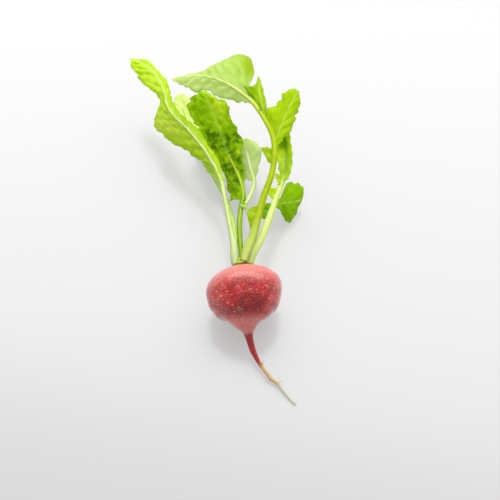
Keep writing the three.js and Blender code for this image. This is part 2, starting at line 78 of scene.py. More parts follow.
# Leaves that have only just started, in front of the other leaves' feet.
YOUNG_LEAVES = [
    [[0.3, 11.5, 23.2, 2], [0.3, 13.1, 24.1, 1.8], [0.3, 14.2, 24.7, 1.2]],
    [[-2.6, 11.6, 22.8, 1.3], [-2.4, 13.4, 23.5, 1.2], [-2.2, 15, 24.2, 0.7]],
    [[2.2, 11.6, 22.4, 1.1], [2.2, 13.4, 23.2, 0.9], [2.4, 14.4, 23.6, 0.5]],
]
ROOTLETS = [
    [[8.6, -34.6, 4.4, 0.3], [9.4, -33.6, 5, 0.2], [10.4, -33.4, 5.2, 0.1]],
    [[12.6, -40.8, 2.6, 0.35], [11.2, -41, 2.4, 0.25], [9.8, -41.8, 1.8, 0.1]],
    [[16.6, -43.8, 2, 0.28], [18, -43, 2.4, 0.2], [19.6, -43, 2.2, 0.1]],
    [[24.6, -54, 0.9, 0.3], [25.4, -53.2, 1.4, 0.2], [25.8, -52.6, 1.7, 0.1]],
]

# A stalk is points with the radius there.
# A blade is rows of three points: the rib, the left edge and the right edge.
LEFT_STALK = [
    [-4.4, 14.6, 21.2, 2.2],
    [-4.6, 17.6, 22, 2.35],
    [-5.3, 23.8, 23.4, 1.95],
    [-7, 31.9, 24.8, 1.25],
    [-9.2, 44.7, 26.3, 1.15],
    [-10.8, 53, 27.4, 1.2],
]
LEFT_BLADE = [
    [-11.9, 59.3, 28.2, -14.1, 60.2, 27.5, -9.9, 58.3, 28],
    [-14.9, 66.1, 29.4, -17.3, 67, 27.6, -12.6, 69.2, 29.4],
    [-17.3, 70.3, 30.2, -20.6, 70.9, 26, -15.3, 73.6, 30.4],
    [-20.5, 76, 31, -25, 75, 23.5, -18, 78, 31],
    [-25, 82, 32, -31, 80.5, 22, -21.5, 84.5, 32],
    [-29, 87, 33, -38, 87, 21, -25.5, 89.5, 33],
    [-32.5, 91, 33.5, -44.5, 92.5, 20, -29, 93, 34],
    [-36, 94.5, 34, -48.5, 97, 20, -33, 96.5, 34],
    [-39, 98.5, 34.5, -49, 101, 22, -36.5, 102, 34],
    [-41, 102.5, 35, -47, 104, 26, -38, 105.5, 34],
    [-42, 107.5, 35.5, -45.5, 107.5, 31, -39, 110, 34],
    [-43.5, 112.5, 36, -49, 111.5, 33, -40, 114, 34],
    [-45.5, 117, 36.5, -53.5, 115.5, 34, -41.5, 118.5, 34.5],
    [-48, 121.5, 37, -57.5, 120.5, 34, -45, 123.5, 35],
    [-51.5, 125.5, 36.5, -59.5, 124, 34, -49.5, 129, 35],
    [-55.5, 129, 36, -61.5, 128, 34, -53, 132.5, 35],
    [-59.5, 132, 35, -62, 131, 34, -58, 133, 35],
    [-62.3, 134, 34, -62.6, 133.6, 34, -62, 134.2, 34],
]
LEFT_TAB = [
    [-13.1, 62.8, 27.8, -12.6, 61.2, 27.8, -13.9, 64.8, 28],
    [-15.8, 66, 26.8, -15.8, 63.9, 25.6, -16.4, 69.9, 27],
    [-18.5, 69.4, 25, -18.8, 66, 23.4, -18.8, 72.8, 25.6],
    [-20.7, 71.9, 24, -20.9, 69.8, 23, -20.7, 74.2, 24.4],
    [-21.8, 73.8, 23.6, -21.9, 73.2, 23.6, -21.8, 74.4, 23.6],
]
LOW_STALK = [
    [-2.4, 15.4, 16.6, 1.3],
    [-3, 22.2, 16, 1.3],
    [-4.6, 32.9, 14, 1.2],
    [-6.3, 45, 11.6, 1.1],
    [-9.5, 58.7, 8.8, 1.1],
]
LOW_BLADE = [
    [-15.5, 73.5, 5.5, -17, 75, 5.5, -14, 75.5, 5.5],
    [-20, 85, 3.5, -24, 88, 2.8, -15.5, 86, 3.5],
    [-24, 95, 2.3, -30.5, 97.5, 1.4, -17.5, 94.5, 2.2],
    [-27.5, 104, 2, -35.5, 104.5, 1.2, -19.5, 102.5, 1.6],
    [-30.5, 112, 2, -39, 113, 1.2, -24.5, 110, 1.6],
    [-33, 119.5, 2.4, -40.5, 120.5, 1.6, -28.5, 117, 2.2],
    [-34.5, 125, 3.2, -41, 126, 2.6, -30, 124, 3.4],
    [-36, 129, 4.2, -40.5, 129.5, 3.8, -31, 129.5, 4.2],
    [-36.5, 132, 5, -37.5, 132, 5, -35, 132.5, 5],
]
INNER_STALK = [
    [-1.3, 15.7, 19.2, 1.3],
    [-1.7, 22, 19.4, 1.35],
    [-2.2, 29, 19.6, 1.4],
    [-2.4, 38.6, 19.6, 1.35],
    [-1.6, 48.5, 19.7, 1.3],
]
INNER_BLADE = [
    [-0.5, 53, 20, -1.7, 52.1, 19.5, 0.3, 53.6, 20],
    [-0.7, 57.8, 20.3, -7.9, 53.3, 17.5, 0.4, 58.4, 20.2],
    [-1.9, 62.9, 21, -9.5, 60.8, 18, 0.2, 65.2, 20.4],
    [-3.9, 67.9, 22, -10.7, 67.1, 19.5, -0.1, 70.8, 21],
    [-6.3, 72.6, 23.5, -13.9, 72.7, 21, -0.4, 76.5, 22],
    [-8.6, 77.9, 25, -18.7, 77.1, 23, -0.5, 81.6, 23.4],
    [-11.1, 84.4, 27.3, -22.2, 83.1, 25, -0.2, 86, 25],
    [-13.7, 91, 29.4, -24.9, 90.7, 27, -3.4, 92.4, 27],
    [-16, 97, 31, -27.9, 97.1, 29, -6.5, 96.2, 29],
    [-17.9, 102.3, 32.2, -31.2, 103.3, 30, -7.4, 101.2, 30.2],
    [-19.7, 106.4, 33, -30.3, 108.6, 31, -8.1, 105.6, 31],
    [-21.3, 109.5, 33.5, -27, 111.1, 32.3, -14.4, 108.2, 32.4],
    [-22.3, 112.1, 33.5, -23.8, 112, 33.4, -20.6, 112.3, 33.4],
]
INNER_SIDE_STEM = [
    [-1.5, 48.6, 19.4, 1.1],
    [1.2, 51.4, 18.8, 1],
    [3.5, 56.6, 18.2, 0.95],
    [5.2, 62.4, 17.9, 1.15],
]
INNER_SIDE = [
    [4.9, 65.9, 18, 3.8, 65, 18, 6, 66.4, 18],
    [4.1, 69.2, 18.3, -0.7, 67.2, 16.4, 7.5, 70, 18.8],
    [3, 73.4, 18.7, -2.6, 72.6, 16.4, 8.3, 74.6, 19.6],
    [1.9, 78.7, 19.2, -5.6, 79, 16.4, 9.2, 79.6, 20.4],
    [1, 84, 19.6, -6.2, 84.6, 17.4, 9.6, 83.4, 21],
    [0.3, 88, 19.8, -3.4, 87.8, 18.4, 6.2, 88, 20.8],
    [-0.2, 90.4, 20, -1.2, 90.2, 20, 1.4, 90.8, 20],
]
INNER_TAB = [
    [-2, 48.4, 20.4, -2, 47.5, 20.4, -2, 49.3, 20.4],
    [-0.7, 47.6, 21.1, -0.7, 45.6, 20.6, -0.4, 49.9, 21.4],
    [0.7, 47.3, 21.2, 0.4, 45.4, 20.8, 0.9, 49, 21.4],
    [1.7, 47, 21, 1.6, 46.6, 21, 1.8, 47.3, 21],
]
ARCHING_STALK = [
    [0.4, 14.2, 25.4, 1.9],
    [1.1, 16.7, 26.1, 2.2],
    [2.4, 19.9, 27.1, 2.5],
    [4.5, 24.8, 29, 2.35],
    [6.5, 31.6, 32, 1.95],
    [8.5, 38.4, 35.2, 1.8],
    [10.7, 44.7, 38.5, 1.7],
    [13.1, 50.2, 41.5, 1.6],
    [14.6, 55.8, 44, 1.5],
    [15.4, 61.6, 46.8, 1.5],
    [15.3, 66.8, 48.6, 1.45],
    [14.2, 72.2, 50.3, 1.4],
    [11.6, 77.8, 52, 1.3],
    [8.1, 84, 53, 1.2],
]
ARCHING_BLADE = [
    [4.3, 89.4, 54, 3, 88.5, 54, 5, 91.5, 54],
    [1, 92.8, 54.5, 0.5, 90, 52, 3, 99, 55],
    [-2.5, 95.6, 55, -3.5, 92, 50, 5, 108, 55],
    [-6, 98.5, 55, -8, 95, 48, 3, 117.5, 54],
    [-9.6, 101.5, 54.5, -12.5, 97.5, 47, -4, 121, 53],
    [-13.6, 104.3, 53.5, -16.5, 100.5, 46, -11.5, 118.5, 52],
    [-18, 107, 52, -21, 103, 45.5, -17, 115, 51],
    [-22.6, 109, 50.5, -25.5, 103.5, 44.5, -21.5, 113.5, 49.5],
    [-27.5, 110.4, 48.5, -29.5, 105.5, 43.5, -27, 113, 48],
    [-32.4, 111, 46.5, -33, 108, 43.5, -32, 112.5, 46.5],
    [-36, 111.4, 45, -35.8, 109.8, 44, -36, 112.5, 45],
    [-38, 111.5, 44, -38, 111, 44, -38, 112, 44],
]
ARCHING_HORN = [
    [11.4, 78.5, 51.5, 10.1, 80.3, 51.5, 13.2, 75.4, 51],
    [9.9, 84, 53, 4.5, 89.5, 53.2, 12.5, 83.2, 51.5],
    [8.9, 88.6, 54, 0.7, 94, 54, 11.7, 88.1, 52.5],
    [8.2, 92.6, 55, -1.2, 98.1, 55, 10.8, 93, 53.2],
    [7.7, 96.5, 55.5, 2.7, 98, 56.2, 10.1, 97.2, 54],
    [7.4, 100, 56, 6, 99.5, 56.5, 9.1, 101, 55],
    [7.2, 104, 56.5, 6.7, 103.6, 56.5, 7.7, 103.8, 56.5],
]
ARCHING_WING = [
    [15, 64.8, 47.6, 14.1, 66.4, 48, 16.2, 64, 47],
    [16.1, 69.6, 48.6, 13.4, 75.5, 49.6, 20.6, 71.1, 46.5],
    [17.5, 73.7, 49.4, 11.4, 81.4, 50.9, 23.5, 75.1, 45.8],
    [19.1, 77.8, 50.2, 11.7, 86.5, 51.6, 25.3, 79.3, 46],
    [20.6, 81.7, 50.9, 14.8, 89.3, 51.6, 27.2, 84.4, 46.8],
    [22.2, 85.4, 51.5, 17.4, 92.3, 52, 28.4, 88, 48],
    [23.9, 89.1, 52, 19, 95.7, 52.5, 29.5, 91.5, 49.5],
    [25.4, 92.5, 52.5, 21.7, 98, 52.7, 29, 94.7, 51],
    [26.8, 95.5, 52.6, 24.6, 99.7, 52.7, 28.6, 97.5, 52],
    [27.6, 97.7, 52.6, 27, 98.3, 52.6, 28.1, 97.9, 52.6],
]
ARCHING_TAB = [
    [15, 61.1, 45.8, 14.6, 55.6, 43.6, 15.2, 66.1, 48],
    [13.3, 61.6, 46, 13.7, 56.7, 43.8, 13.4, 66.3, 47.4],
    [11.6, 63.1, 46, 12.3, 58.9, 44.2, 11.5, 67, 46.8],
    [10.2, 65.2, 45.6, 10.7, 62.1, 44.8, 10.1, 67.1, 46],
    [8.9, 67, 45.2, 9.1, 66.1, 45, 9, 67.5, 45.2],
]
ARCHING_LEAFLET = [
    [6.8, 34.4, 33.2, 4.3, 26.4, 29.4, 7.8, 38.7, 35],
    [5.3, 35.4, 33, 2.9, 29.1, 29.4, 6.2, 39.3, 34.4],
    [3.8, 36.4, 32.4, 2.1, 32.7, 30.2, 4.5, 39.4, 33.4],
    [2.5, 36.9, 31.8, 1.8, 34.8, 31, 2.9, 38.7, 32.4],
    [1.1, 37.3, 31.4, 1, 36.7, 31.4, 1.2, 37.9, 31.5],
]
RIGHT_STALK = [
    [3.6, 14.6, 21.2, 1.7],
    [4.7, 18.4, 21.2, 1.75],
    [6.9, 23.4, 21.3, 1.85],
    [9.1, 28.4, 21.7, 1.9],
    [11.7, 35.6, 22.6, 1.85],
    [14.1, 42.8, 23.6, 1.75],
    [16.4, 50.1, 24.6, 1.6],
]
RIGHT_BLADE = [
    [19, 57.5, 26, 18, 58, 26, 20, 57.5, 26],
    [20.7, 62.4, 27, 17.8, 61.3, 28.6, 23.2, 59.5, 28.6],
    [21.8, 67.7, 28, 17.3, 65.5, 32, 24.4, 64.1, 31.5],
    [22.1, 73.3, 29, 16.8, 71, 33.5, 25, 69.9, 33],
    [22, 78.3, 30, 16.8, 76, 34.5, 24.9, 75.8, 34],
    [21.6, 82.7, 31, 17.3, 80.5, 35, 24.2, 80.5, 34.6],
    [21.1, 87, 32, 18.2, 85, 35, 23.1, 84.8, 34.8],
    [20.6, 90.5, 33, 19.8, 89.9, 33.6, 21.4, 89.9, 33.6],
]
RIGHT_SIDE = [
    [15, 46.6, 23.8, 15, 48.1, 23.8, 15, 45.4, 23.6],
    [18.3, 49, 20.7, 19.2, 53, 21, 18.2, 46.9, 17],
    [20.8, 51.6, 17.2, 20.8, 60.7, 18.5, 20.2, 49.1, 9],
    [23.3, 53.9, 14, 23.4, 64.7, 17, 23, 48.4, 1.4],
    [26, 56, 11.5, 26.6, 66.3, 15.5, 25.6, 50.1, 0.7],
    [28.6, 57.8, 9.5, 29.5, 67.2, 13.5, 28.3, 55.2, 3.6],
    [30.1, 59.3, 8.5, 31.3, 65.3, 12, 29.9, 58.1, 6.6],
    [30.8, 60.4, 8.5, 31.2, 61.5, 9, 30.7, 59.6, 8],
]
RIGHT_FLAP = [
    [13.9, 42.1, 23.3, 13, 38.3, 22.6, 15, 46.5, 24],
    [12.3, 42.5, 23.6, 10.7, 38.3, 21.6, 13.6, 47.5, 24.8],
    [10.5, 43.1, 23.8, 9, 39.1, 22, 11.8, 47.1, 25],
    [8.9, 43.7, 24, 8.1, 41.7, 23.4, 9.7, 45.6, 24.6],
    [7.8, 44.2, 24.2, 7.6, 43.6, 24.2, 8.1, 44.8, 24.2],
]
RIGHT_FLAP_TWO = [
    [16.7, 51.5, 24.8, 16.1, 48.7, 24.4, 17.4, 54.3, 25.2],
    [15.2, 51.6, 25.8, 14.7, 48.2, 24.6, 15.9, 55.4, 26.8],
    [13.6, 52.1, 26.8, 13.2, 49.5, 26, 14.3, 55.1, 27.4],
    [12.2, 52.8, 27.4, 12.1, 51.9, 27.4, 12.5, 53.7, 27.4],
]
RIGHT_FLAP_THREE = [
    [19.4, 59.1, 26.4, 18.9, 56.5, 26, 19.9, 61.5, 27],
    [18, 59.7, 27.4, 17.4, 56.9, 26.8, 18.4, 62.8, 28.4],
    [16.8, 60.8, 28.2, 16.3, 59.2, 28, 17, 62.8, 28.8],
    [15.9, 61.9, 28.8, 15.8, 61.4, 28.8, 16.1, 62.4, 28.8],
]

# How deep the stalks' feet are sunk into the crown.
FOOT_DEPTH = 2.6
# Steps of a smooth line between two of its rows.
FINE_STEPS = 12
# Distances between the points of a blade's mesh, along its rib and across it.
GRID_ALONG, GRID_ACROSS = 0.5, 0.55
# Teeth and waves fade out over this length at a blade's ends, and are full where it is this wide.
SOFT_END = 2.5
FULL_WIDTH = 8

# The camera: the point that it looks at, and how far away and how high it stands.
VIEW_AIM = Vector((3, 16.8, 28.5)) * MM
VIEW_DISTANCE = 600 * MM
VIEW_HEIGHT = math.radians(60)
VIEW_WIDTH = 250 * MM
SENSOR = 36
# The large soft light, and the board just under the radish.
WINDOW_PLACE = Vector((120, 620, 880)) * MM
WINDOW_SIZE = (2300 * MM, 700 * MM)
BOARD_SIZE = 6
BOARD_HEIGHT = -0.0001


def linear(code):
    """The linear colour of an sRGB hex code."""
    values = [int(code[i : i + 2], 16) / 255 for i in (1, 3, 5)]
    return [v / 12.92 if v <= 0.04045 else ((v + 0.055) / 1.055) ** 2.4 for v in values]


def colour(name, description, code):
    return FloatVectorProperty(
        name=name, description=description, subtype="COLOR", size=3, min=0, max=1, default=linear(code)
    )


def length(name, description, millimetres):
    return FloatProperty(
        name=name, description=description, unit="LENGTH", subtype="DISTANCE", min=0,
        default=millimetres * MM,
    )


class RadishRootSettings(bpy.types.PropertyGroup):
    skin: colour("Skin", "Red of the root's skin", "#9E0A0C")
    # Deep skin also gives the painted shade on the face above the pale end.
    deep_skin: colour("Deep skin", "Darker red of the skin's blotches", "#600606")
    # Worn skin also gives the painted highlight on the shoulder and the painted reflection of the pale
    # surface near the tap root and on the flanks.
    worn_and_sheen_skin: colour("Worn skin and sheen", "Pale red where the skin is rubbed", "#EA9890")
    tail: colour("Tail", "Deep red of the upper tap root", "#8E1218")
    tan: colour("Tan", "Bare stretch of the tap root", "#B08C60")
    tip: colour("Tip", "Thin end of the tap root", "#A8AC92")
    crown: colour("Crown", "Green neck between the root and the leaf stalks", "#9CB028")
    scar: colour("Scar", "Brown line round the neck", "#5C2810")
    dimples: length("Dimples", "Depth of the skin's unevenness", 0.14)


class RadishLeafSettings(bpy.types.PropertyGroup):
    thickness: length("Thickness", "Thickness of a leaf blade", 0.55)
    tooth_pitch: length("Tooth pitch", "Distance between the teeth of a leaf's edge", 4.6)
    wave_pitch: length("Wave pitch", "Distance between the waves of a leaf's edge", 13)
    wave_height: length("Wave height", "Height of the waves of a leaf's edge", 0.8)
    vein_pitch: length("Vein pitch", "Distance between the side veins along the rib", 6.5)
    pucker: length("Pucker", "How far a blade swells between its veins", 0.5)
    vein: colour("Vein", "Pale green of ribs and veins", "#DCEAA8")


class RadishStageSettings(bpy.types.PropertyGroup):
    surface: colour("Surface", "Pale surface under the radish", "#747474")
    # The board's own painted glow, which lightens the shadows on it.
    glow: FloatProperty(name="Glow", description="Light that shines up through the surface", default=0.39)
    window: FloatProperty(
        name="Window", description="Strength of the large soft light", subtype="POWER", default=19.5
    )
    sky: FloatProperty(name="Sky", description="Strength of the light from all round", default=1.5)
    dim: FloatProperty(
        name="Dim side", description="Share of that light that comes from the front", default=0.56
    )


def catmull_rom(rows, at):
    """Smooth values between rows, at fractional row numbers."""
    rows = np.asarray(rows, float)
    last = len(rows) - 1
    i = np.minimum(np.floor(at).astype(int), last - 1)
    t = (at - i)[:, None]
    a, b, c, d = rows[np.maximum(i - 1, 0)], rows[i], rows[i + 1], rows[np.minimum(i + 2, last)]
    slope_b, slope_c, rise = (c - a) / 2, (d - b) / 2, c - b
    return (
        b + slope_b * t + (3 * rise - 2 * slope_b - slope_c) * t**2
        + (slope_b + slope_c - 2 * rise) * t**3
    )


class Track:
    """Rows of numbers along a smooth line, read by the length along their first columns."""

    def __init__(self, rows, measured=3):
        count = (len(rows) - 1) * FINE_STEPS
        self.fine = catmull_rom(rows, np.linspace(0, len(rows) - 1, count + 1))
        steps = np.linalg.norm(np.diff(self.fine[:, :measured], axis=0), axis=1)
        self.lengths = np.concatenate([[0], np.cumsum(steps)])
        self.total = self.lengths[-1]

    def at(self, along):
        return np.stack([np.interp(along, self.lengths, c) for c in self.fine.T], axis=1)


def unit(vectors):
    return vectors / np.maximum(np.linalg.norm(vectors, axis=1, keepdims=True), 1e-9)


def uneven(a, b, seed=0.0):
    """Smooth irregular values between -1 and 1 over a surface, with waves about one unit apart."""
    return (
        np.sin(2.1 * a + 1.3 * b + seed) + np.sin(-1.7 * a + 2.6 * b + 2.1 * seed)
        + np.sin(3.3 * a - 0.9 * b + 0.7 * seed) + np.sin(0.8 * a + 3.7 * b - 1.9 * seed)
    ) / 4


def deselect():
    if bpy.context.object and bpy.context.object.mode != "OBJECT":
        bpy.ops.object.mode_set(mode="OBJECT")
    bpy.ops.object.select_all(action="DESELECT")


def points_of(obj):
    points = np.zeros(len(obj.data.vertices) * 3)
    obj.data.vertices.foreach_get("co", points)
    return points.reshape(-1, 3)


def move_points(obj, points):
    """Moves every vertex to its place, given in millimetres."""
    obj.data.vertices.foreach_set("co", (np.asarray(points) * MM).ravel())
    obj.data.update()


def keep(obj, name, values):
    """Keeps a number for each vertex, for the material to read."""
    layer = obj.data.attributes.new(name, "FLOAT", "POINT")
    layer.data.foreach_set("value", np.asarray(values, dtype=np.float32))


def apply_modifier(obj, kind, **settings):
    deselect()
    obj.select_set(True)
    bpy.context.view_layer.objects.active = obj
    modifier = obj.modifiers.new(kind.title(), kind)
    for key, value in settings.items():
        setattr(modifier, key, value)
    bpy.ops.object.modifier_apply(modifier=modifier.name)


def join(name, parts):
    deselect()
    for part in parts:
        part.select_set(True)
    bpy.context.view_layer.objects.active = parts[0]
    bpy.ops.object.join()
    parts[0].name = name
    parts[0].data.name = name
    bpy.ops.object.shade_smooth()
    return parts[0]


def hand_over(obj, node):
    """The finished piece rides on the radish in place of its plain solid."""
    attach(obj, "root")
    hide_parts(node)


# Shapes of leaves


class Blade:
    """The middle surface of a leaf blade, read by the length along its rib and by how far across it is.

    Painted lights are soft spots of painted light and shade: the shares along and across, their sizes and
    a strength, over 0 where light is painted and under 0 where shade is painted. A blade that is turned
    shows its underside, so its veins stand up.
    """

    def __init__(self, rows, tooth_depth, crumple=0.0, pleats=0.0, seed=0.0, painted_lights=(), turned=False):
        self.settings = bpy.context.scene.radish_leaves
        self.track = Track(rows)
        self.tooth_depth = tooth_depth
        self.crumple = crumple
        self.pleats = pleats
        self.seed = seed
        self.painted_lights = painted_lights
        self.relief = -1.0 if turned else 1.0
        steps = max(2, round(self.track.total / (self.settings.tooth_pitch / MM / 2)))
        self.tooth_step = self.track.total / steps

    def widest(self):
        fine = self.track.fine
        left = np.linalg.norm(fine[:, 3:6] - fine[:, :3], axis=1).max()
        right = np.linalg.norm(fine[:, 6:9] - fine[:, :3], axis=1).max()
        return max(left, right)

    def spread(self, along, across):
        """The rib's place, the way to the edge and how far the edge is."""
        row = self.track.at(along)
        edge = np.where((across < 0)[:, None], row[:, 3:6], row[:, 6:9])
        reach = edge - row[:, :3]
        width = np.maximum(np.linalg.norm(reach, axis=1), 1e-6)
        return row[:, :3], reach, width

    def teeth(self, along, side):
        """How much of the edge is cut away, in millimetres. The teeth lean towards the leaf's tip."""
        place = along / self.tooth_step / 2
        share = place - np.floor(place)
        rise = np.clip(share / 0.4, 0, 1) ** 0.7
        fall = np.clip((1 - share) / 0.6, 0, 1) ** 1.1
        depth = self.tooth_depth * (0.7 + 0.5 * np.sin(2.3 * (2 * np.floor(place) + 1) + side))
        small = 3 * place + self.seed
        serration = 0.4 * self.tooth_depth * (small - np.floor(small))
        return depth * np.minimum(rise, fall) + serration

    def ends(self, along):
        return np.clip(np.minimum(along, self.track.total - along) / SOFT_END, 0, 1)

    def form(self, along, across):
        """The blade without its veins."""
        along = np.clip(along, 0, self.track.total)
        rib, reach, width = self.spread(along, across)
        side = np.where(across < 0, 1.2, 0)
        ends = self.ends(along)
        cut = np.minimum(self.teeth(along, side) * ends / width, 0.3)
        share = np.abs(across) * (1 - cut * across**2)
        wave_pitch = self.settings.wave_pitch / MM
        waves = self.settings.wave_height / MM * np.sin(2 * math.pi * along / wave_pitch + side)
        waves = waves * np.minimum(width / FULL_WIDTH, 1) * share**2 * ends
        out = rib + reach * share[:, None]
        out[:, 2] += 0.1 * width * np.sin(math.pi * share) + waves
        return out

    def veins(self, along, across):
        """How strongly the side veins and the rib show, and how far it is from the veins, from 0 to 1."""
        _, _, width = self.spread(along, across)
        out = np.abs(across) * width
        pitch = self.settings.vein_pitch / MM
        offset = np.where(across < 0, 0.0, 0.45) + self.seed
        bent = along - 0.95 * out + 0.014 * out**2 + 0.6 * np.sin(0.4 * along + out * 0.3)
        phase = bent / pitch + offset
        near = np.abs(phase - np.round(phase)) * pitch * 0.72
        thick = 0.16 + 0.26 * np.clip(1 - out / width, 0, 1)
        main = np.exp(-((near / thick) ** 2)) * np.clip(1.1 - across**2, 0, 1)
        fine_phase = (along + 0.5 * out) / (pitch * 0.42) + 0.3 * np.sin(out * 0.9 + along * 0.25)
        fine_near = np.abs(fine_phase - np.round(fine_phase)) * pitch * 0.42
        fine = 0.3 * np.exp(-((fine_near / 0.17) ** 2)) * np.clip(out / 3, 0, 1)
        rib = np.exp(-((out / 0.55) ** 2))
        between = 0.5 - 0.5 * np.cos(2 * math.pi * phase)
        return np.maximum(main, fine), rib, between * np.sin(math.pi * np.abs(across)) ** 0.6

    def surface(self, along, across):
        """Every point of the blade, how strongly its veins show, and its ribs."""
        middle = self.form(along, across)
        ahead = self.form(along + 0.3, across) - self.form(along - 0.3, across)
        right = self.form(along, np.clip(across + 0.02, -1, 1))
        over = right - self.form(along, np.clip(across - 0.02, -1, 1))
        normal = unit(np.cross(over, ahead))
        veins, rib, between = self.veins(along, across)
        _, _, width = self.spread(along, across)
        room = np.minimum(width / FULL_WIDTH, 1) * self.ends(along)
        off_rib = np.clip(np.abs(across) * width / 3, 0, 1)
        pucker = self.settings.pucker / MM
        swell = self.relief * pucker * (between - 0.5 - 0.45 * veins)
        place = along / self.track.total
        crumpled = self.crumple * uneven(along * 0.42, across * width * 0.5, self.seed) * off_rib
        fold = self.pleats * np.sin(2 * math.pi * (1.3 * across + 0.35 * place) + self.seed)
        fold = fold * np.clip(3 * place - 0.8, 0, 1) * off_rib
        return middle + normal * ((swell + crumpled + fold) * room)[:, None], veins, rib

    # Painted light, over 0, and painted shade, under 0, at each point of the blade.
    def tint(self, along, across):
        place = along / self.track.total
        out = np.zeros_like(along)
        for at, to, size_along, size_across, strength in self.painted_lights:
            off = ((place - at) / size_along) ** 2 + ((across - to) / size_across) ** 2
            out += strength * np.exp(-off)
        return np.clip(out, -1, 1)


def blade_mesh(name, blade, materials):
    """A leaf blade: a grid laid over the blade's surface, then given its thickness."""
    rows = max(16, int(blade.track.total / GRID_ALONG))
    columns = 2 * int(np.clip(blade.widest() / GRID_ACROSS, 7, 26))
    deselect()
    bpy.ops.mesh.primitive_grid_add(x_subdivisions=columns, y_subdivisions=rows, size=2)
    obj = bpy.context.object
    obj.name = name
    flat = points_of(obj)
    along = (flat[:, 1] + 1) / 2 * blade.track.total
    across = flat[:, 0]
    points, veins, rib = blade.surface(along, across)
    move_points(obj, points)
    keep(obj, "vein", veins)
    keep(obj, "rib", rib)
    keep(obj, "edge", np.abs(across))
    # Painted light and shade, for the material to read.
    keep(obj, "tint", blade.tint(along, across))
    for material in materials:
        obj.data.materials.append(material)
    apply_modifier(
        obj, "SOLIDIFY", thickness=blade.settings.thickness, offset=0, material_offset=1,
        use_quality_normals=True,
    )
    return obj


def swept_frame(track, along):
    """The middle of a stalk at each length, and the directions across it and over it."""
    middle = track.at(along)
    ahead = track.at(np.clip(along + 0.8, 0, track.total))[:, :3]
    behind = track.at(np.clip(along - 0.8, 0, track.total))[:, :3]
    forward = unit(ahead - behind)
    across = unit(np.cross(forward, np.array([0, 0, 1.0])))
    return middle, across, np.cross(across, forward)


def ball_on(track, name, segments, rings):
    """A ball to be drawn out along a line, with the length and the angle of each of its points."""
    deselect()
    bpy.ops.mesh.primitive_uv_sphere_add(segments=segments, ring_count=rings, radius=1)
    obj = bpy.context.object
    obj.name = name
    ball = points_of(obj)
    along = np.arccos(np.clip(ball[:, 2], -1, 1)) / math.pi * track.total
    return obj, along, np.arctan2(ball[:, 1], ball[:, 0])


def draw_out(obj, track, along, angle, radius):
    middle, across, over = swept_frame(track, along)
    sideways = across * np.cos(angle)[:, None] + over * np.sin(angle)[:, None]
    move_points(obj, middle[:, :3] + sideways * radius[:, None])


def stalk_mesh(name, rows, material):
    """A leaf stalk: a ball drawn out along its line, with a channel along its upper face."""
    track = Track(rows)
    obj, along, angle = ball_on(track, name, 28, max(24, int(track.total / 0.9)))
    from_end = np.clip(np.minimum(along, track.total - along) / 0.9, 0, 1)
    blunt = np.sqrt(1 - (1 - from_end) ** 2)
    turned = np.angle(np.exp(1j * (angle - math.pi / 2)))
    channel = np.exp(-((turned / 0.5) ** 2))
    strands = 1 + 0.02 * np.sin(9 * angle + 0.02 * along)
    ring = (1 - 0.26 * channel) * (1 - 0.12 * np.abs(np.sin(angle))) * strands
    draw_out(obj, track, along, angle, track.at(along)[:, 3] * ring * blunt)
    keep(obj, "vein", channel)
    keep(obj, "edge", np.abs(np.cos(angle)))
    keep(obj, "stalk_length", along / track.total)
    obj.data.materials.append(material)
    return obj


def rooted(stalk):
    """The stalk's rows, with its foot drawn on into the crown."""
    first, second = np.array(stalk[0][:3]), np.array(stalk[1][:3])
    foot = first - unit((second - first)[None])[0] * FOOT_DEPTH
    return [[*foot, stalk[0][3] * 0.95], *stalk]


def stalk_and_rib(stalk, rows, tip_radius, offset, taper=0.8):
    """The stalk's rows, which run on as the rib along one face of the blade."""
    neck = stalk[-1][3]
    ribs = [row[:3] for row in rows[:-2]]
    out = list(stalk)
    for i, (x, y, z) in enumerate(ribs):
        out.append([x, y, z + offset, neck + (tip_radius - neck) * (i / (len(ribs) - 1)) ** taper])
    return out


# Materials


def add(tree, kind, settings=None, links=None):
    """Adds a node and sets its colour steps, its own settings, its plain sockets and its links."""
    node = tree.nodes.new(kind)
    for key, value in (settings or {}).items():
        if key == "steps":
            elements = node.color_ramp.elements
            for place, _ in value[1:-1]:
                elements.new(place)
            for element, (place, grey) in zip(elements, value):
                element.position = place
                element.color = (grey, grey, grey, 1)
        elif isinstance(key, str) and hasattr(node, key):
            setattr(node, key, value)
        else:
            node.inputs[key].default_value = value
    for key, source in (links or {}).items():
        if isinstance(source, bpy.types.NodeSocket):
            tree.links.new(source, node.inputs[key])
        else:
            node.inputs[key].default_value = (*source, 1)
    return node


def layered(tree, colour, *layers):
    """Lays other colours over the first one, each as far as its soft masks let it show.

    A mask is a number and its steps: values of the number, and how much shows there.
    """
    for upper, *masks in layers:
        share = None
        for number, steps in masks:
            shown = add(tree, "ShaderNodeValToRGB", {"steps": steps}, {"Fac": number}).outputs["Color"]
            if share is not None:
                both = {0: shown, 6: (0, 0, 0), 7: share}
                shown = add(tree, "ShaderNodeMix", {"data_type": "RGBA"}, both).outputs[2]
            share = shown
        both = {0: share, 6: colour, 7: upper}
        colour = add(tree, "ShaderNodeMix", {"data_type": "RGBA"}, both).outputs[2]
    return colour


def new_material(name, *marks):
    """A bare material, the place on its piece, and the numbers that the piece keeps for it."""
    material = bpy.data.materials.new(name)
    material.use_nodes = True
    tree = material.node_tree
    tree.nodes.clear()
    place = add(tree, "ShaderNodeTexCoord").outputs["Object"]
    numbers = [
        add(tree, "ShaderNodeAttribute", {"attribute_name": mark}).outputs["Fac"] for mark in marks
    ]
    return material, tree, place, *numbers


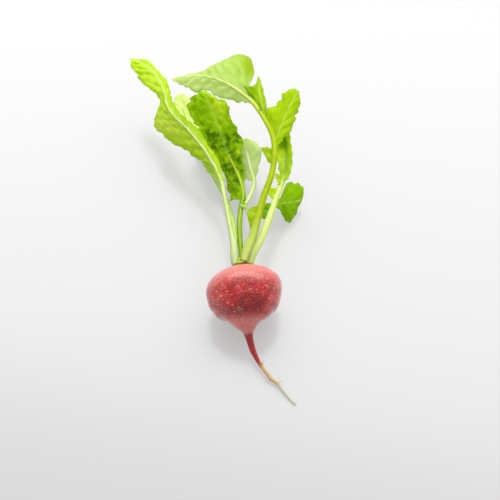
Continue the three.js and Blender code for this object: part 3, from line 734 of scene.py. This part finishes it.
def fleshy(tree, colour, height, through, glow, roughness):
    """Ends a material of living tissue: a waxy face that lets some daylight through."""
    bump = add(tree, "ShaderNodeBump", {"Strength": 0.25, "Distance": 0.0002}, {"Height": height})
    face = add(
        tree,
        "ShaderNodeBsdfPrincipled",
        {"Roughness": roughness, "IOR": 1.15},
        {"Base Color": colour, "Normal": bump.outputs["Normal"]},
    )
    lit = add(tree, "ShaderNodeMix", {"data_type": "RGBA", 0: 0.7}, {6: colour, 7: glow}).outputs[2]
    light = add(tree, "ShaderNodeBsdfTranslucent", links={"Color": lit})
    both = add(tree, "ShaderNodeMixShader", {0: through}, {1: face.outputs[0], 2: light.outputs[0]})
    add(tree, "ShaderNodeOutputMaterial", links={"Surface": both.outputs[0]})


def leaf_flesh(name, greens, vein, glow, veins=0.45, rib=0.8, through=0.35, shade_in_creases=0.0):
    """Fresh leaf: soft waxy green, paler along its veins, with daylight coming through it.

    The greens are its middle, its light and its deep one. The light green also carries painted light and
    the deep green painted shade, which can be broken up into creases.
    """
    material, tree, place, *marks = new_material(name, "tint", "vein", "rib", "edge")
    tint, vein_mark, rib_mark, edge = marks
    middle, light, deep = (linear(code) for code in greens)
    # Patches of about 6 mm, painted crease shade of about 2.5 mm, and cells of the fine vein net of about
    # 1.2 mm.
    patches, crease_shade = (
        add(tree, "ShaderNodeTexNoise", settings, {"Vector": place}).outputs["Fac"]
        for settings in ({"Scale": 160, "Detail": 4, "Roughness": 0.6}, {"Scale": 400, "Detail": 3})
    )
    net = {"feature": "DISTANCE_TO_EDGE", "Scale": 800}
    cells = add(tree, "ShaderNodeTexVoronoi", net, {"Vector": place}).outputs["Distance"]
    # Painted shade: how far the blade is painted darker.
    painted_shade = add(tree, "ShaderNodeMath", {"operation": "MULTIPLY", 1: -1}, {0: tint}).outputs[0]
    green = layered(
        tree, middle,
        (deep, (patches, [(0.4, 0), (0.75, 0.3)])),
        (light, (patches, [(0.25, 0.3), (0.45, 0)])),
        # Painted light, then painted shade broken up by the crease noise.
        (light, (tint, [(0, 0), (1, 1)])),
        (deep, (crease_shade, [(0.45, 1 - shade_in_creases), (0.55, 1)]), (painted_shade, [(0, 0), (1, 1)])),
        (vein, (cells, [(0, 0.2), (0.09, 0)])),
        (vein, (vein_mark, [(0.1, 0), (0.9, veins)])),
        (bpy.context.scene.radish_leaves.vein, (rib_mark, [(0.2, 0), (0.9, rib)])),
        (deep, (edge, [(0.93, 0), (1, 0.5)])),
    )
    fleshy(tree, green, cells, through, linear(glow), 0.5)
    return material


def stalk_flesh(name, foot, middle, rib, flank, vein):
    """Leaf stalk: juicy and ribbed, whitish at its foot and along its channel, green down its sides."""
    material, tree, place, along, edge, channel = new_material(name, "stalk_length", "edge", "vein")
    # Strands of about 0.8 mm that run with the stalk.
    streaks = add(tree, "ShaderNodeMapping", {"Scale": (1, 0.1, 1)}, {"Vector": place}).outputs["Vector"]
    grain = {"Scale": 1200, "Detail": 2}
    strands = add(tree, "ShaderNodeTexNoise", grain, {"Vector": streaks}).outputs["Fac"]
    green = layered(
        tree, linear(foot),
        (linear(middle), (along, [(0.05, 0), (0.2, 1)])),
        (linear(rib), (along, [(0.6, 0), (0.75, 1)])),
        (linear(flank), (edge, [(0.55, 0), (0.95, 0.5)])),
        (vein, (strands, [(0.4, 0), (0.7, 0.45)])),
        (vein, (channel, [(0.2, 0), (0.9, 0.5)])),
    )
    fleshy(tree, green, strands, 0.2, linear(middle), 0.42)
    return material


def radish_skin(settings):
    """Radish skin: thin, taut and shiny, blotched red with pale specks, green at the crown."""
    material, tree, place, zone, side = new_material("radish skin", "zone", "edge")
    # Blotches of about 7 mm, rubbed patches of about 3 mm and mottling of about 0.8 mm.
    blotches, patches, mottle = (
        add(tree, "ShaderNodeTexNoise", grain, {"Vector": place}).outputs["Fac"]
        for grain in (
            {"Scale": 140, "Detail": 5, "Roughness": 0.65},
            {"Scale": 330, "Detail": 6, "Roughness": 0.7},
            {"Scale": 1300, "Detail": 3, "Roughness": 0.7},
        )
    )
    # Specks lie across the root, about 1 mm long and 3 mm apart, and dark pits are 5 mm apart.
    flat = add(tree, "ShaderNodeMapping", {"Scale": (0.5, 1, 0.5)}, {"Vector": place}).outputs["Vector"]
    specks, pits = (
        add(tree, "ShaderNodeTexVoronoi", {"Scale": scale}, {"Vector": flat}).outputs["Distance"]
        for scale in (620, 380)
    )
    worn_and_sheen, deep = settings.worn_and_sheen_skin, settings.deep_skin
    across = add(tree, "ShaderNodeSeparateXYZ", links={0: place}).outputs["X"]
    # From 0 to 1 over 40 mm, with the middle of the root at 0.5.
    share = {"operation": "MULTIPLY_ADD", 1: 25, 2: 0.5}
    across = add(tree, "ShaderNodeMath", share, {0: across}).outputs[0]
    wobble = add(tree, "ShaderNodeMath", {"operation": "MULTIPLY_ADD", 1: 0.1, 2: -0.05}, {0: patches})
    here = add(tree, "ShaderNodeMath", {"operation": "ADD"}, {0: zone, 1: wobble.outputs[0]}).outputs[0]
    # Where the painted highlight and the painted reflection lie along the root.
    shoulder = [(0.215, 0.4), (0.262, 0.4), (0.295, 0)]
    narrow_end = [(0.345, 0), (0.365, 0.45), (0.392, 0.45), (0.402, 0)]
    red = layered(
        tree, settings.skin,
        (deep, (blotches, [(0.42, 0), (0.62, 0.7)])),
        # Painted highlight on the shoulder, and painted reflection of the pale surface where it narrows
        # to the tap root and on its flanks: the skin is painted paler there.
        (worn_and_sheen, (zone, shoulder + narrow_end)),
        (
            worn_and_sheen,
            (side, [(0.55, 0), (1, 0.36)]),
            (zone, [(0.25, 0.4), (0.33, 1)]),
            (patches, [(0.4, 0.3), (0.56, 1)]),
        ),
        (worn_and_sheen, (patches, [(0.55, 0), (0.68, 0.3)])),
        (worn_and_sheen, (mottle, [(0.53, 0), (0.6, 0.2)])),
        (deep, (mottle, [(0.38, 0.22), (0.46, 0)])),
        (worn_and_sheen, (patches, [(0.42, 0), (0.58, 0.9)]), (specks, [(0.1, 1), (0.26, 0)])),
        (deep, (pits, [(0.03, 0.8), (0.1, 0)])),
        # Painted shade: its face is darkened just above the pale end, over about 15 mm on the right of
        # the middle.
        (
            deep,
            (zone, [(0.3, 0), (0.326, 0.5), (0.343, 0.5), (0.358, 0)]),
            (across, [(0.36, 0), (0.52, 1), (0.72, 1), (0.88, 0)]),
            (blotches, [(0.4, 0.3), (0.52, 1)]),
        ),
        # The crown goes up to 0.2, the round root to 0.4, the red tail to 0.6, the bare tail to 0.8.
        (settings.tail, (here, [(0.39, 0), (0.412, 0.85)])),
        (settings.tan, (here, [(0.58, 0), (0.615, 1)])),
        (settings.tip, (here, [(0.78, 0), (0.83, 1)])),
        (settings.scar, (zone, [(0.205, 1), (0.216, 0)])),
        (settings.crown, (zone, [(0.185, 1), (0.197, 0)])),
    )
    bump = add(tree, "ShaderNodeBump", {"Strength": 0.45, "Distance": 0.0003}, {"Height": patches})
    normal = bump.outputs["Normal"]
    rough = add(tree, "ShaderNodeValToRGB", {"steps": [(0.35, 0.24), (0.7, 0.42)]}, {"Fac": patches})
    face = add(
        tree,
        "ShaderNodeBsdfPrincipled",
        {"IOR": 1.12, "Coat Weight": 1.0, "Coat IOR": 1.42, "Coat Roughness": 0.15},
        {
            "Base Color": red, "Roughness": rough.outputs["Color"],
            "Normal": normal, "Coat Normal": normal,
        },
    )
    add(tree, "ShaderNodeOutputMaterial", links={"Surface": face.outputs[0]})
    return material


def glossy_board(settings):
    """Gloss white board with a painted glow of its own, which lightens the shadows on it, and a faint
    soft mirror image.
    """
    material, tree, place = new_material("gloss white board")
    back = add(tree, "ShaderNodeSeparateXYZ", links={0: place}).outputs["Y"]
    # The board's painted glow is stronger towards the back, by about a fifth over 200 mm.
    strength = {"operation": "MULTIPLY_ADD", 1: 0.4, 2: settings.glow}
    gloss = {"Roughness": 0.22, "IOR": 1.45, "Emission Color": (1, 1, 1, 1)}
    face = add(
        tree,
        "ShaderNodeBsdfPrincipled",
        {"Base Color": (*settings.surface, 1), **gloss},
        {"Emission Strength": add(tree, "ShaderNodeMath", strength, {0: back}).outputs[0]},
    )
    add(tree, "ShaderNodeOutputMaterial", links={"Surface": face.outputs[0]})
    return material


# Operators


class RADISH_OT_root(bpy.types.Operator):
    """Makes the round root with its crown and tap root"""

    bl_idname = "radish.root"
    bl_label = "Radish root"

    def execute(self, context):
        settings = context.scene.radish_root
        level = math.cos(ROOT_TILT)
        axis = [-math.sin(ROOT_TURN) * level, math.cos(ROOT_TURN) * level, math.sin(ROOT_TILT)]
        axis = np.array(axis)
        rows = [[*(ROOT_MIDDLE + axis * along), radius] for along, radius in ROOT_PROFILE]
        track = Track(rows + TAP_ROOT, measured=4)
        obj, along, angle = ball_on(track, "radish_root", 190, 320)
        radius = track.at(along)[:, 3]
        bulb_end, red_end, bare_end = np.interp([21, 35.4, 44.8], -track.fine[:, 1], track.lengths)
        place = math.pi * np.clip(along / bulb_end, 0, 1)
        ridges = 0.012 * np.sin(3 * angle + 0.6) + 0.006 * np.sin(5 * angle)
        form = 1 + ridges * np.sin(place) - ROOT_LEAN * np.sin(2 * place) * np.cos(angle)
        dimples = uneven(2.2 * np.cos(angle) + along * 0.11, 2.2 * np.sin(angle) - along * 0.08, 1.0)
        fine = uneven(7 * np.cos(angle) + along * 0.4, 7 * np.sin(angle) + along * 0.3, 2.0)
        dimples = dimples + 0.4 * fine
        radius = radius * form + settings.dimples / MM * dimples * np.sin(place)
        tail = np.clip((along - bulb_end) / 8, 0, 1)
        radius = radius * (1 + tail * 0.08 * uneven(along * 0.8, angle * 1.5, 4.0))
        knobs = ((red_end - 0.5, 2.8, 0.5), (bare_end - 5, 5.6, 0.55), (bare_end - 1, 3, 0.3))
        for knob, side, height in knobs:
            bump = np.exp(-(((along - knob) / 0.7) ** 2)) * np.clip(np.cos(angle - side), 0, 1)
            radius = radius + height * bump
        radius = radius * np.clip((track.total - along) / 0.6, 0, 1) ** 0.5
        draw_out(obj, track, along, angle, radius)
        points = points_of(obj) / MM
        points[:, 2] = np.maximum(points[:, 2], 0.0)
        move_points(obj, points)
        crown_end = track.lengths[3 * FINE_STEPS]
        marks = [0, crown_end, bulb_end, red_end, bare_end, track.total]
        keep(obj, "zone", np.interp(along, marks, [0, 0.2, 0.4, 0.6, 0.8, 1]))
        keep(obj, "edge", np.abs(np.cos(angle)))
        obj.data.materials.append(radish_skin(settings))
        look = context.scene.radish_leaves
        young = stalk_flesh("young leaf", "#98AC18", "#94AC08", "#A0B810", "#7C9800", linear("#B4C840"))
        hair = stalk_flesh("rootlet", "#B89060", "#C8A878", "#D8C8A0", "#C09868", look.vein)
        parts = [obj]
        for n, rows in enumerate(YOUNG_LEAVES):
            parts.append(stalk_mesh(f"young_leaf_{n}", rows, young))
        for n, rows in enumerate(ROOTLETS):
            parts.append(stalk_mesh(f"rootlet_{n}", rows, hair))
        hand_over(join("radish_root_skin", parts), "radish_root")
        return {"FINISHED"}


class RADISH_OT_left_leaf(bpy.types.Operator):
    """Makes the long leaf on the left"""

    bl_idname = "radish.left_leaf"
    bl_label = "Left leaf"

    def execute(self, context):
        vein = context.scene.radish_leaves.vein
        green = leaf_flesh(
            "left leaf upper side", ("#BCD808", "#D0E058", "#88B400"), vein, "#E8FC20", through=0.5
        )
        under = leaf_flesh("left leaf underside", ("#B4D048", "#C8DC70", "#94B834"), vein, "#D0E850")
        stalk = stalk_flesh("left leaf stalk", "#AEBC90", "#ACBC74", "#C8D068", "#98B430", vein)
        # Painted light and painted shade on the long blade, and painted shade over the whole lobe.
        painted_lights = (
            (0.45, -0.65, 0.12, 0.35, 0.9), (0.3, -0.9, 0.12, 0.2, -0.5), (0.42, 0.8, 0.2, 0.4, -0.7),
            (0.75, -0.3, 0.12, 0.5, 0.25), (0.9, 0.3, 0.08, 0.6, -0.4),
        )
        dark = ((0.5, 0, 0.6, 1, -0.8),)
        parts = [
            blade_mesh("left_blade", Blade(LEFT_BLADE, 1.0, 0.5, 0.3, 0.3, painted_lights), [green, under]),
            blade_mesh("left_lobe", Blade(LEFT_TAB, 0.9, 0.4, 0, 0.7, dark), [green, under]),
            stalk_mesh("left_stalk", stalk_and_rib(rooted(LEFT_STALK), LEFT_BLADE, 0.6, -0.5), stalk),
        ]
        hand_over(join("left_leaf", parts), "leaf_left")
        return {"FINISHED"}


class RADISH_OT_arching_leaf(bpy.types.Operator):
    """Makes the tall leaf that arches over the others, turned underside up"""

    bl_idname = "radish.arching_leaf"
    bl_label = "Arching leaf"

    def execute(self, context):
        vein = context.scene.radish_leaves.vein
        bright = linear("#BCD430")
        pale = leaf_flesh(
            "arching leaf underside", ("#D8EAA0", "#F8FFD4", "#B4CC10"), vein, "#F4FFB4",
            veins=0.4, rib=0.9, through=0.75,
        )
        green = leaf_flesh(
            "arching leaf upper side", ("#9CBC00", "#B0CC20", "#6E9400"), bright, "#C4E000",
            veins=0.35, rib=0.3, through=0.45,
        )
        stalk = stalk_flesh("arching leaf stalk", "#B6C486", "#98AC10", "#DCE8A0", "#9CB808", bright)
        # Painted light and shade on the blade, painted shade on the horn lobe, and painted light and
        # shade on the wing lobe and the leaflet.
        painted_lights = (
            (0.24, 0.9, 0.1, 0.5, -1.1), (0.45, -0.6, 0.45, 0.5, 1.2), (0.9, 0, 0.25, 1, 0.8),
            (0.75, -1, 0.2, 0.1, -2), (0.2, -1, 0.1, 0.2, -1.5),
        )
        shaded = ((0.1, 0, 0.3, 1, -1), (0.6, -0.6, 0.3, 0.4, -0.7))
        plain = ((0.3, 0.4, 0.3, 0.4, 0.5), (0.1, 0, 0.2, 0.8, -0.4))
        blade = Blade(ARCHING_BLADE, 0.9, 0.35, 0.3, 1.7, painted_lights, turned=True)
        rows = stalk_and_rib(rooted(ARCHING_STALK), ARCHING_BLADE, 0.35, 0.2, 0.4)
        parts = [
            blade_mesh("arching_blade", blade, [pale, green]),
            blade_mesh("horn_lobe", Blade(ARCHING_HORN, 0.9, 0.6, 0, 0.2, shaded), [green, pale]),
            blade_mesh("wing_lobe", Blade(ARCHING_WING, 1.7, 0.35, 0, 1.2, plain), [green, pale]),
            blade_mesh("small_lobe", Blade(ARCHING_TAB, 1.5, 0.3, 0, 2.2), [green, pale]),
            blade_mesh("leaflet", Blade(ARCHING_LEAFLET, 0.9, 0.3, 0, 3.2, plain), [green, pale]),
            stalk_mesh("arching_stalk", rows, stalk),
        ]
        hand_over(join("arching_leaf", parts), "leaf_arching")
        return {"FINISHED"}


class RADISH_OT_right_leaf(bpy.types.Operator):
    """Makes the leaf on the right, with its side lobe hanging to the surface"""

    bl_idname = "radish.right_leaf"
    bl_label = "Right leaf"

    def execute(self, context):
        vein = context.scene.radish_leaves.vein
        bright = linear("#BCD430")
        green = leaf_flesh(
            "right leaf upper side", ("#CCE814", "#E0F070", "#447C00"), bright, "#E8FC10",
            veins=0.35, rib=0.4, through=0.55,
        )
        under = leaf_flesh("right leaf underside", ("#B4D048", "#C4DC60", "#94B834"), vein, "#C8E040")
        # A darker green copy of the leaf's material: painted shade on the side lobe and the low lobe.
        shadow = leaf_flesh(
            "right leaf shaded lobes", ("#94C000", "#B4D410", "#5E8E00"), bright, "#C0EC00",
            veins=0.25, rib=0.4, through=0.55,
        )
        stalk = stalk_flesh("right leaf stalk", "#B4C070", "#D0DC7C", "#BCD430", "#B0CC40", vein)
        # Painted light and shade on the blade and the side lobe, and painted shade over the low lobe.
        painted_lights = ((0.72, -0.45, 0.13, 0.6, -2), (0.36, -0.1, 0.12, 0.8, 0.9), (0.1, 0, 0.1, 1, 0.4))
        lobe_painted_lights = ((0.45, 0.6, 0.2, 0.4, -0.35), (0.6, -0.5, 0.2, 0.3, 0.4))
        dark = ((0.5, 0, 0.6, 1, -0.9),)
        rows = stalk_and_rib(rooted(RIGHT_STALK), RIGHT_BLADE, 0.6, -0.3)
        parts = [
            blade_mesh("right_blade", Blade(RIGHT_BLADE, 1.1, 0.4, 0, 2.2, painted_lights), [green, under]),
            blade_mesh("side_lobe", Blade(RIGHT_SIDE, 1.4, 0.35, 0, 0.6, lobe_painted_lights), [shadow, under]),
            blade_mesh("low_lobe", Blade(RIGHT_FLAP, 1.3, 0.4, 0, 1.6, dark), [shadow, under]),
            blade_mesh("middle_lobe", Blade(RIGHT_FLAP_TWO, 1.3, 0.4, 0, 2.6), [green, under]),
            blade_mesh("high_lobe", Blade(RIGHT_FLAP_THREE, 1.3, 0.3, 0, 3.6), [green, under]),
            stalk_mesh("right_stalk", rows, stalk),
        ]
        hand_over(join("right_leaf", parts), "leaf_right")
        return {"FINISHED"}


class RADISH_OT_inner_leaf(bpy.types.Operator):
    """Makes the dark crumpled leaf in the middle, with its pale side leaflet"""

    bl_idname = "radish.inner_leaf"
    bl_label = "Inner leaf"

    def execute(self, context):
        vein = context.scene.radish_leaves.vein
        soft = linear("#B8D040")
        green = leaf_flesh(
            "inner leaf upper side", ("#ACD400", "#E8F438", "#265400"), soft, "#D8F800",
            veins=0.25, rib=0.18, through=0.55, shade_in_creases=0.7,
        )
        under = leaf_flesh("inner leaf underside", ("#9CBC4C", "#B0CC60", "#7CA434"), soft, "#B8D850")
        pale = leaf_flesh(
            "leaflet underside", ("#ECF4B8", "#F0F4CC", "#C8DC70"), vein, "#F4FFB0",
            veins=0.4, rib=1, through=0.6,
        )
        stalk = stalk_flesh("inner leaf stalk", "#90AC30", "#6C9810", "#C4D444", "#5C8C00", soft)
        stem = stalk_flesh("leaflet stalk", "#C8DC78", "#D4E498", "#E4EEC4", "#B0D048", vein)
        # Painted light and shade on the crumpled blade and on the junction lobe.
        painted_lights = (
            (0.86, -0.45, 0.1, 0.35, -0.15), (0.87, 0.45, 0.12, 0.45, 1.1), (0.75, 0.15, 0.1, 0.3, 0.3),
            (0.57, -0.4, 0.07, 0.35, -1.7), (0.48, -0.2, 0.05, 0.4, -1.2), (0.55, 0.5, 0.06, 0.35, -1.7),
            (0.4, 0.2, 0.06, 0.4, -1), (0.405, 0.8, 0.035, 0.3, 2.2), (0.28, 0.6, 0.08, 0.25, -2),
            (0.3, -0.5, 0.05, 0.3, -1.2), (0.19, -0.55, 0.12, 0.6, -1.4), (0.64, 0.1, 0.05, 0.1, 0.5),
        )
        knot = ((0.3, 0, 0.4, 1, -1), (0.8, -0.4, 0.2, 0.4, 0.5))
        blade = Blade(INNER_BLADE, 1.4, 1.2, 0.9, 3.1, painted_lights)
        # Painted shade along the side leaflet's left edge.
        side = Blade(INNER_SIDE, 0.8, 0.3, 0.2, 0.9, ((0.5, -0.8, 0.3, 0.3, -0.6),), turned=True)
        rows = stalk_and_rib(rooted(INNER_STALK), INNER_BLADE[:8], 0.35, -0.1)
        parts = [
            blade_mesh("inner_blade", blade, [green, under]),
            blade_mesh("side_leaflet", side, [pale, under]),
            blade_mesh("junction_lobe", Blade(INNER_TAB, 0.9, 0.8, 0, 0.1, knot), [green, under]),
            stalk_mesh("inner_stalk", rows, stalk),
            stalk_mesh("side_stalk", stalk_and_rib(INNER_SIDE_STEM, INNER_SIDE, 0.7, 0.3), stem),
        ]
        hand_over(join("inner_leaf", parts), "leaf_inner")
        return {"FINISHED"}


class RADISH_OT_low_leaf(bpy.types.Operator):
    """Makes the low leaf that lies on the surface"""

    bl_idname = "radish.low_leaf"
    bl_label = "Low leaf"

    def execute(self, context):
        vein = context.scene.radish_leaves.vein
        green = leaf_flesh(
            "low leaf upper side", ("#D8E488", "#E4ECA8", "#B4CC48"), vein, "#E4F480", veins=0.4, rib=0.6
        )
        under = leaf_flesh("low leaf underside", ("#C4DC80", "#D0E498", "#A8C860"), vein, "#D8EC80")
        stalk = stalk_flesh("low leaf stalk", "#D8E8A0", "#B8DC30", "#C8DC70", "#9CC818", vein)
        parts = [
            blade_mesh("low_blade", Blade(LOW_BLADE, 0.9, 0.2, 0.3, 4.4), [green, under]),
            stalk_mesh("low_stalk", stalk_and_rib(rooted(LOW_STALK), LOW_BLADE, 0.55, 0.3), stalk),
        ]
        obj = join("low_leaf", parts)
        points = points_of(obj) / MM
        points[:, 2] = np.maximum(points[:, 2], 0.02)
        move_points(obj, points)
        hand_over(obj, "leaf_low")
        return {"FINISHED"}


class RADISH_OT_stage(bpy.types.Operator):
    """Makes the pale surface, the soft lights and the camera"""

    bl_idname = "radish.stage"
    bl_label = "Stage"

    def execute(self, context):
        settings = context.scene.radish_stage
        deselect()
        bpy.ops.mesh.primitive_plane_add(size=BOARD_SIZE, location=(0, 0, BOARD_HEIGHT))
        board = context.object
        board.name = "board"
        board.data.materials.append(glossy_board(settings))
        self.light_room(context, settings)
        deselect()
        bpy.ops.object.light_add(type="AREA", location=WINDOW_PLACE)
        window = context.object
        window.data.shape = "RECTANGLE"
        window.data.size, window.data.size_y = WINDOW_SIZE
        window.data.energy = settings.window
        window.rotation_mode = "QUATERNION"
        window.rotation_quaternion = (VIEW_AIM - window.location).to_track_quat("-Z", "Y")
        deselect()
        bpy.ops.object.camera_add()
        camera = context.object
        back = Vector((0, -math.cos(VIEW_HEIGHT), math.sin(VIEW_HEIGHT)))
        camera.location = VIEW_AIM + back * VIEW_DISTANCE
        camera.rotation_mode = "QUATERNION"
        camera.rotation_quaternion = (-back).to_track_quat("-Z", "Y")
        camera.data.sensor_width = SENSOR
        camera.data.lens = SENSOR * VIEW_DISTANCE / VIEW_WIDTH
        camera.data.clip_start = 0.01
        context.scene.camera = camera
        context.scene.view_settings.view_transform = "Standard"
        context.scene.view_settings.look = "None"
        return {"FINISHED"}

    def light_room(self, context, settings):
        """A pale room, bright overhead and behind the radish and dimmer in front of it."""
        world = bpy.data.worlds.new("pale room")
        context.scene.world = world
        world.use_nodes = True
        tree = world.node_tree
        tree.nodes.clear()
        facing = add(tree, "ShaderNodeTexCoord").outputs["Generated"]
        parts = add(tree, "ShaderNodeSeparateXYZ", links={0: facing}).outputs
        # Level and sideways it is 0.4 bright, and straight up and straight back each add 0.3.
        share = {"operation": "MULTIPLY_ADD", 1: 0.3, 2: 0.4}
        height = add(tree, "ShaderNodeMath", share, {0: parts["Z"]})
        depth = {0: parts["Y"], 2: height.outputs[0]}
        depth = add(tree, "ShaderNodeMath", {"operation": "MULTIPLY_ADD", 1: 0.3}, depth).outputs[0]
        steps = [(0.2, settings.dim), (0.5, settings.dim), (0.85, 1.0)]
        shade = add(tree, "ShaderNodeValToRGB", {"steps": steps}, {"Fac": depth}).outputs["Color"]
        sky = add(tree, "ShaderNodeBackground", {"Strength": settings.sky}, {"Color": shade})
        add(tree, "ShaderNodeOutputWorld", links={"Surface": sky.outputs[0]})


class RADISH_PT_panel(bpy.types.Panel):
    bl_label = "Radish"
    bl_idname = "RADISH_PT_panel"
    bl_space_type = "VIEW_3D"
    bl_region_type = "UI"
    bl_category = "Radish"

    def draw(self, context):
        scene = context.scene
        for group in (scene.radish_root, scene.radish_leaves, scene.radish_stage):
            box = self.layout.box()
            for key in group.bl_rna.properties.keys():
                if key not in ("rna_type", "name"):
                    box.prop(group, key)
        for operator in OPERATORS:
            self.layout.operator(operator.bl_idname)


OPERATORS = (
    RADISH_OT_root,
    RADISH_OT_left_leaf,
    RADISH_OT_arching_leaf,
    RADISH_OT_right_leaf,
    RADISH_OT_inner_leaf,
    RADISH_OT_low_leaf,
    RADISH_OT_stage,
)
GROUPS = (RadishRootSettings, RadishLeafSettings, RadishStageSettings)


def register():
    for item in (*GROUPS, *OPERATORS, RADISH_PT_panel):
        bpy.utils.register_class(item)
    bpy.types.Scene.radish_root = PointerProperty(type=RadishRootSettings)
    bpy.types.Scene.radish_leaves = PointerProperty(type=RadishLeafSettings)
    bpy.types.Scene.radish_stage = PointerProperty(type=RadishStageSettings)


def unregister():
    del bpy.types.Scene.radish_stage
    del bpy.types.Scene.radish_leaves
    del bpy.types.Scene.radish_root
    for item in reversed((*GROUPS, *OPERATORS, RADISH_PT_panel)):
        bpy.utils.unregister_class(item)


def main():
    register()
    bpy.ops.radish.root()
    bpy.ops.radish.left_leaf()
    bpy.ops.radish.arching_leaf()
    bpy.ops.radish.right_leaf()
    bpy.ops.radish.inner_leaf()
    bpy.ops.radish.low_leaf()
    bpy.ops.radish.stage()
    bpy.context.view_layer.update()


if __name__ == "__main__":
    main()
